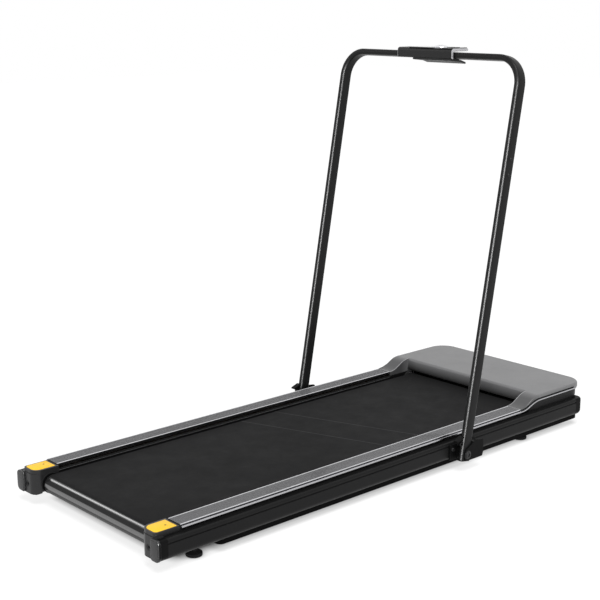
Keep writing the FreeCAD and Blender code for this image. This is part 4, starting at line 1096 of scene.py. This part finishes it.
def button_marks():
    """A power sign on the start button, plus and minus on the keys."""
    low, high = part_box("start_button")
    x, y, top = (low[0] + high[0]) / 2, (low[1] + high[1]) / 2, high[2] + DOME_RISE
    inner, outer, sunk = 5.2 * MM, 6.4 * MM, 0.1 * MM
    gap = math.radians(38)
    steps = 28
    angles = [gap + (2 * math.pi - 2 * gap) * i / steps for i in range(steps + 1)]
    outline = [(x + outer * math.cos(a), y + outer * math.sin(a)) for a in angles]
    outline += [(x + inner * math.cos(a), y + inner * math.sin(a)) for a in reversed(angles)]
    shape = bmesh.new()
    soft_plate(shape, outline, flat, top - 0.8 * MM, top - sunk, 0.0)
    bar_low = (x + 1.2 * MM, y - 0.6 * MM, top - 0.4 * MM)
    soft_bar(shape, bar_low, (x + 6.6 * MM, y + 0.6 * MM, top - sunk), 0.0)
    piece_from("start_button_mark", shape, CONSOLE_GREY, "start_button")

    half_length, half_width = 3.4 * MM, 0.7 * MM
    upright, level = (half_length, half_width), (half_width, half_length)
    for key, bars in (("plus_key", (upright, level)), ("minus_key", (level,))):
        low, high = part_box(key)
        x, y, top = (low[0] + high[0]) / 2, (low[1] + high[1]) / 2, high[2]
        shape = bmesh.new()
        for i, (along, across) in enumerate(bars):
            rise = (0.2 + 0.02 * i) * MM
            bar_low = (x - along, y - across, top - 0.2 * MM)
            soft_bar(shape, bar_low, (x + along, y + across, top + rise), 0.0)
        piece_from(key + "_mark", shape, MARK_WHITE, key)


# Studio

def seen_directly(tree):
    path = add(tree, "ShaderNodeLightPath")
    seen = math_node(tree, "ADD", path.outputs["Is Camera Ray"], path.outputs["Is Glossy Ray"])
    return math_node(tree, "ADD", seen, path.outputs["Is Transmission Ray"], clamp=True)


def world_light():
    """White to the eye and in reflections, weaker as a light."""
    world = bpy.data.worlds.new("studio")
    scene.world = world
    world.use_nodes = True
    tree = world.node_tree
    strength = spread(tree, seen_directly(tree), 0.32, 1.0, 0.0, 1.0)
    feed(tree, tree.nodes["Background"], Color=(1.0, 1.0, 1.0, 1.0), Strength=strength)


def white_floor():
    """White floor with a soft contact shadow, and a painted shadow where its glow drops nearly to black under
    the base.
    """
    mesh = bpy.data.meshes.new("floor")
    reach = 14.0
    corners = [(-reach, -reach, 0), (reach, -reach, 0), (reach, reach, 0), (-reach, reach, 0)]
    mesh.from_pydata(corners, [], [(0, 1, 2, 3)])
    floor = bpy.data.objects.new("floor", mesh)
    scene.collection.objects.link(floor)
    material, tree, shader, place = start_material("floor_white")
    seen = seen_directly(tree)
    contact = feed(tree, add(tree, "ShaderNodeAmbientOcclusion", samples=16), Distance=0.02)
    x, y, _ = coordinates(tree, place)
    in_length = spread(tree, size_of(tree, x), 1.0, 0.0, 0.665, 0.70)
    in_width = spread(tree, size_of(tree, y), 1.0, 0.0, 0.226, 0.262)
    glow = two_tone(tree, contact.outputs["AO"], grey(0.1, 0.0), grey(0.8, 0.0))
    # painted shadow: under the base's footprint the floor's glow drops nearly to black
    glow = two_tone(tree, times(tree, in_length, in_width), glow, grey(0.02, 0.0))
    feed(
        tree,
        shader,
        Base_Color=two_tone(tree, seen, grey(0.4, 0.0), grey(0.26, 0.0)),
        Emission_Color=two_tone(tree, seen, grey(0.0), glow),
        Emission_Strength=1.0,
        Roughness=0.9,
        Specular_IOR_Level=0.0,
    )
    mesh.materials.append(material)


def facing_turn(direction):
    return Vector(direction).to_track_quat("-Z", "Y").to_euler()


def lamp(name, place, aim, size, power, diffuse=True, glossy=True, only=()):
    """Soft area lamp that the camera doesn't see; with only, it lights just those pieces."""
    light = bpy.data.lights.new(name, "AREA")
    light.shape = "RECTANGLE"
    light.size, light.size_y = size
    light.energy = power
    made = bpy.data.objects.new(name, light)
    made.location = place
    made.rotation_euler = facing_turn(Vector(aim) - Vector(place))
    made.visible_camera = False
    made.visible_diffuse = diffuse
    made.visible_glossy = glossy
    scene.collection.objects.link(made)
    if only:
        lit_pieces = bpy.data.collections.new(name + "_pieces")
        for piece in only:
            lit_pieces.objects.link(bpy.data.objects[piece])
        made.light_linking.receiver_collection = lit_pieces


def studio():
    scene.view_settings.view_transform = "Standard"
    world_light()
    white_floor()
    sun = bpy.data.lights.new("overhead_sun", "SUN")
    sun.energy = 0.74 * math.pi
    sun.angle = math.radians(30)
    overhead = bpy.data.objects.new("overhead_sun", sun)
    overhead.rotation_euler = facing_turn((0.2, 0.42, -1.0))
    scene.collection.objects.link(overhead)
    lamp("back_softbox", (-1.28, 1.8, 1.68), (-0.7, 0.0, 0.05), (0.4, 1.2), 4.5)
    front = {"place": (-3.0, -2.7, 0.95), "aim": (0.25, -0.3, 0.6), "size": (0.8, 1.9)}
    lamp("front_fill", power=72.0, glossy=False, **front)
    shiny = ["handrail_bow"]
    shiny += [name + side for name in ("handrail_post_tube_", "rail_end_plug_") for side in ("L", "R")]
    lamp("front_strip", power=1300.0, diffuse=False, only=shiny, **front)


def photo_camera():
    """Camera solved from the straight edges in the photo."""
    picture_pixels, focal_pixels, sensor = 600.0, 1279.579, 36.0
    place = (-2.1992, -2.3276, 1.1862)
    yaw, pitch, roll = (math.radians(angle) for angle in (47.91332, 13.34217, -0.10136))
    camera = bpy.data.cameras.new("photo_camera")
    camera.sensor_width = sensor
    camera.lens = focal_pixels * sensor / picture_pixels
    camera.clip_end = 100.0
    made = bpy.data.objects.new("photo_camera", camera)
    ahead = Vector((math.cos(yaw) * math.cos(pitch), math.sin(yaw) * math.cos(pitch), -math.sin(pitch)))
    right = Vector((math.sin(yaw), -math.cos(yaw), 0.0))
    up = right.cross(ahead)
    turned_right = right * math.cos(roll) + up * math.sin(roll)
    turned_up = up * math.cos(roll) - right * math.sin(roll)
    turn = Matrix((turned_right, turned_up, -ahead)).transposed()
    made.matrix_world = Matrix.Translation(place) @ turn.to_4x4()
    scene.collection.objects.link(made)
    scene.camera = made


dress_nodes()
strip_ribs()
rail_end_plugs()
corner_pads()
base_screws()
pivot_bolt_heads()
rubber_feet()
hood_edges()
transport_wheels()
handrail_tubes()
joiner_screw_heads()
console_ends()
start_button_dome()
button_marks()
studio()
photo_camera()
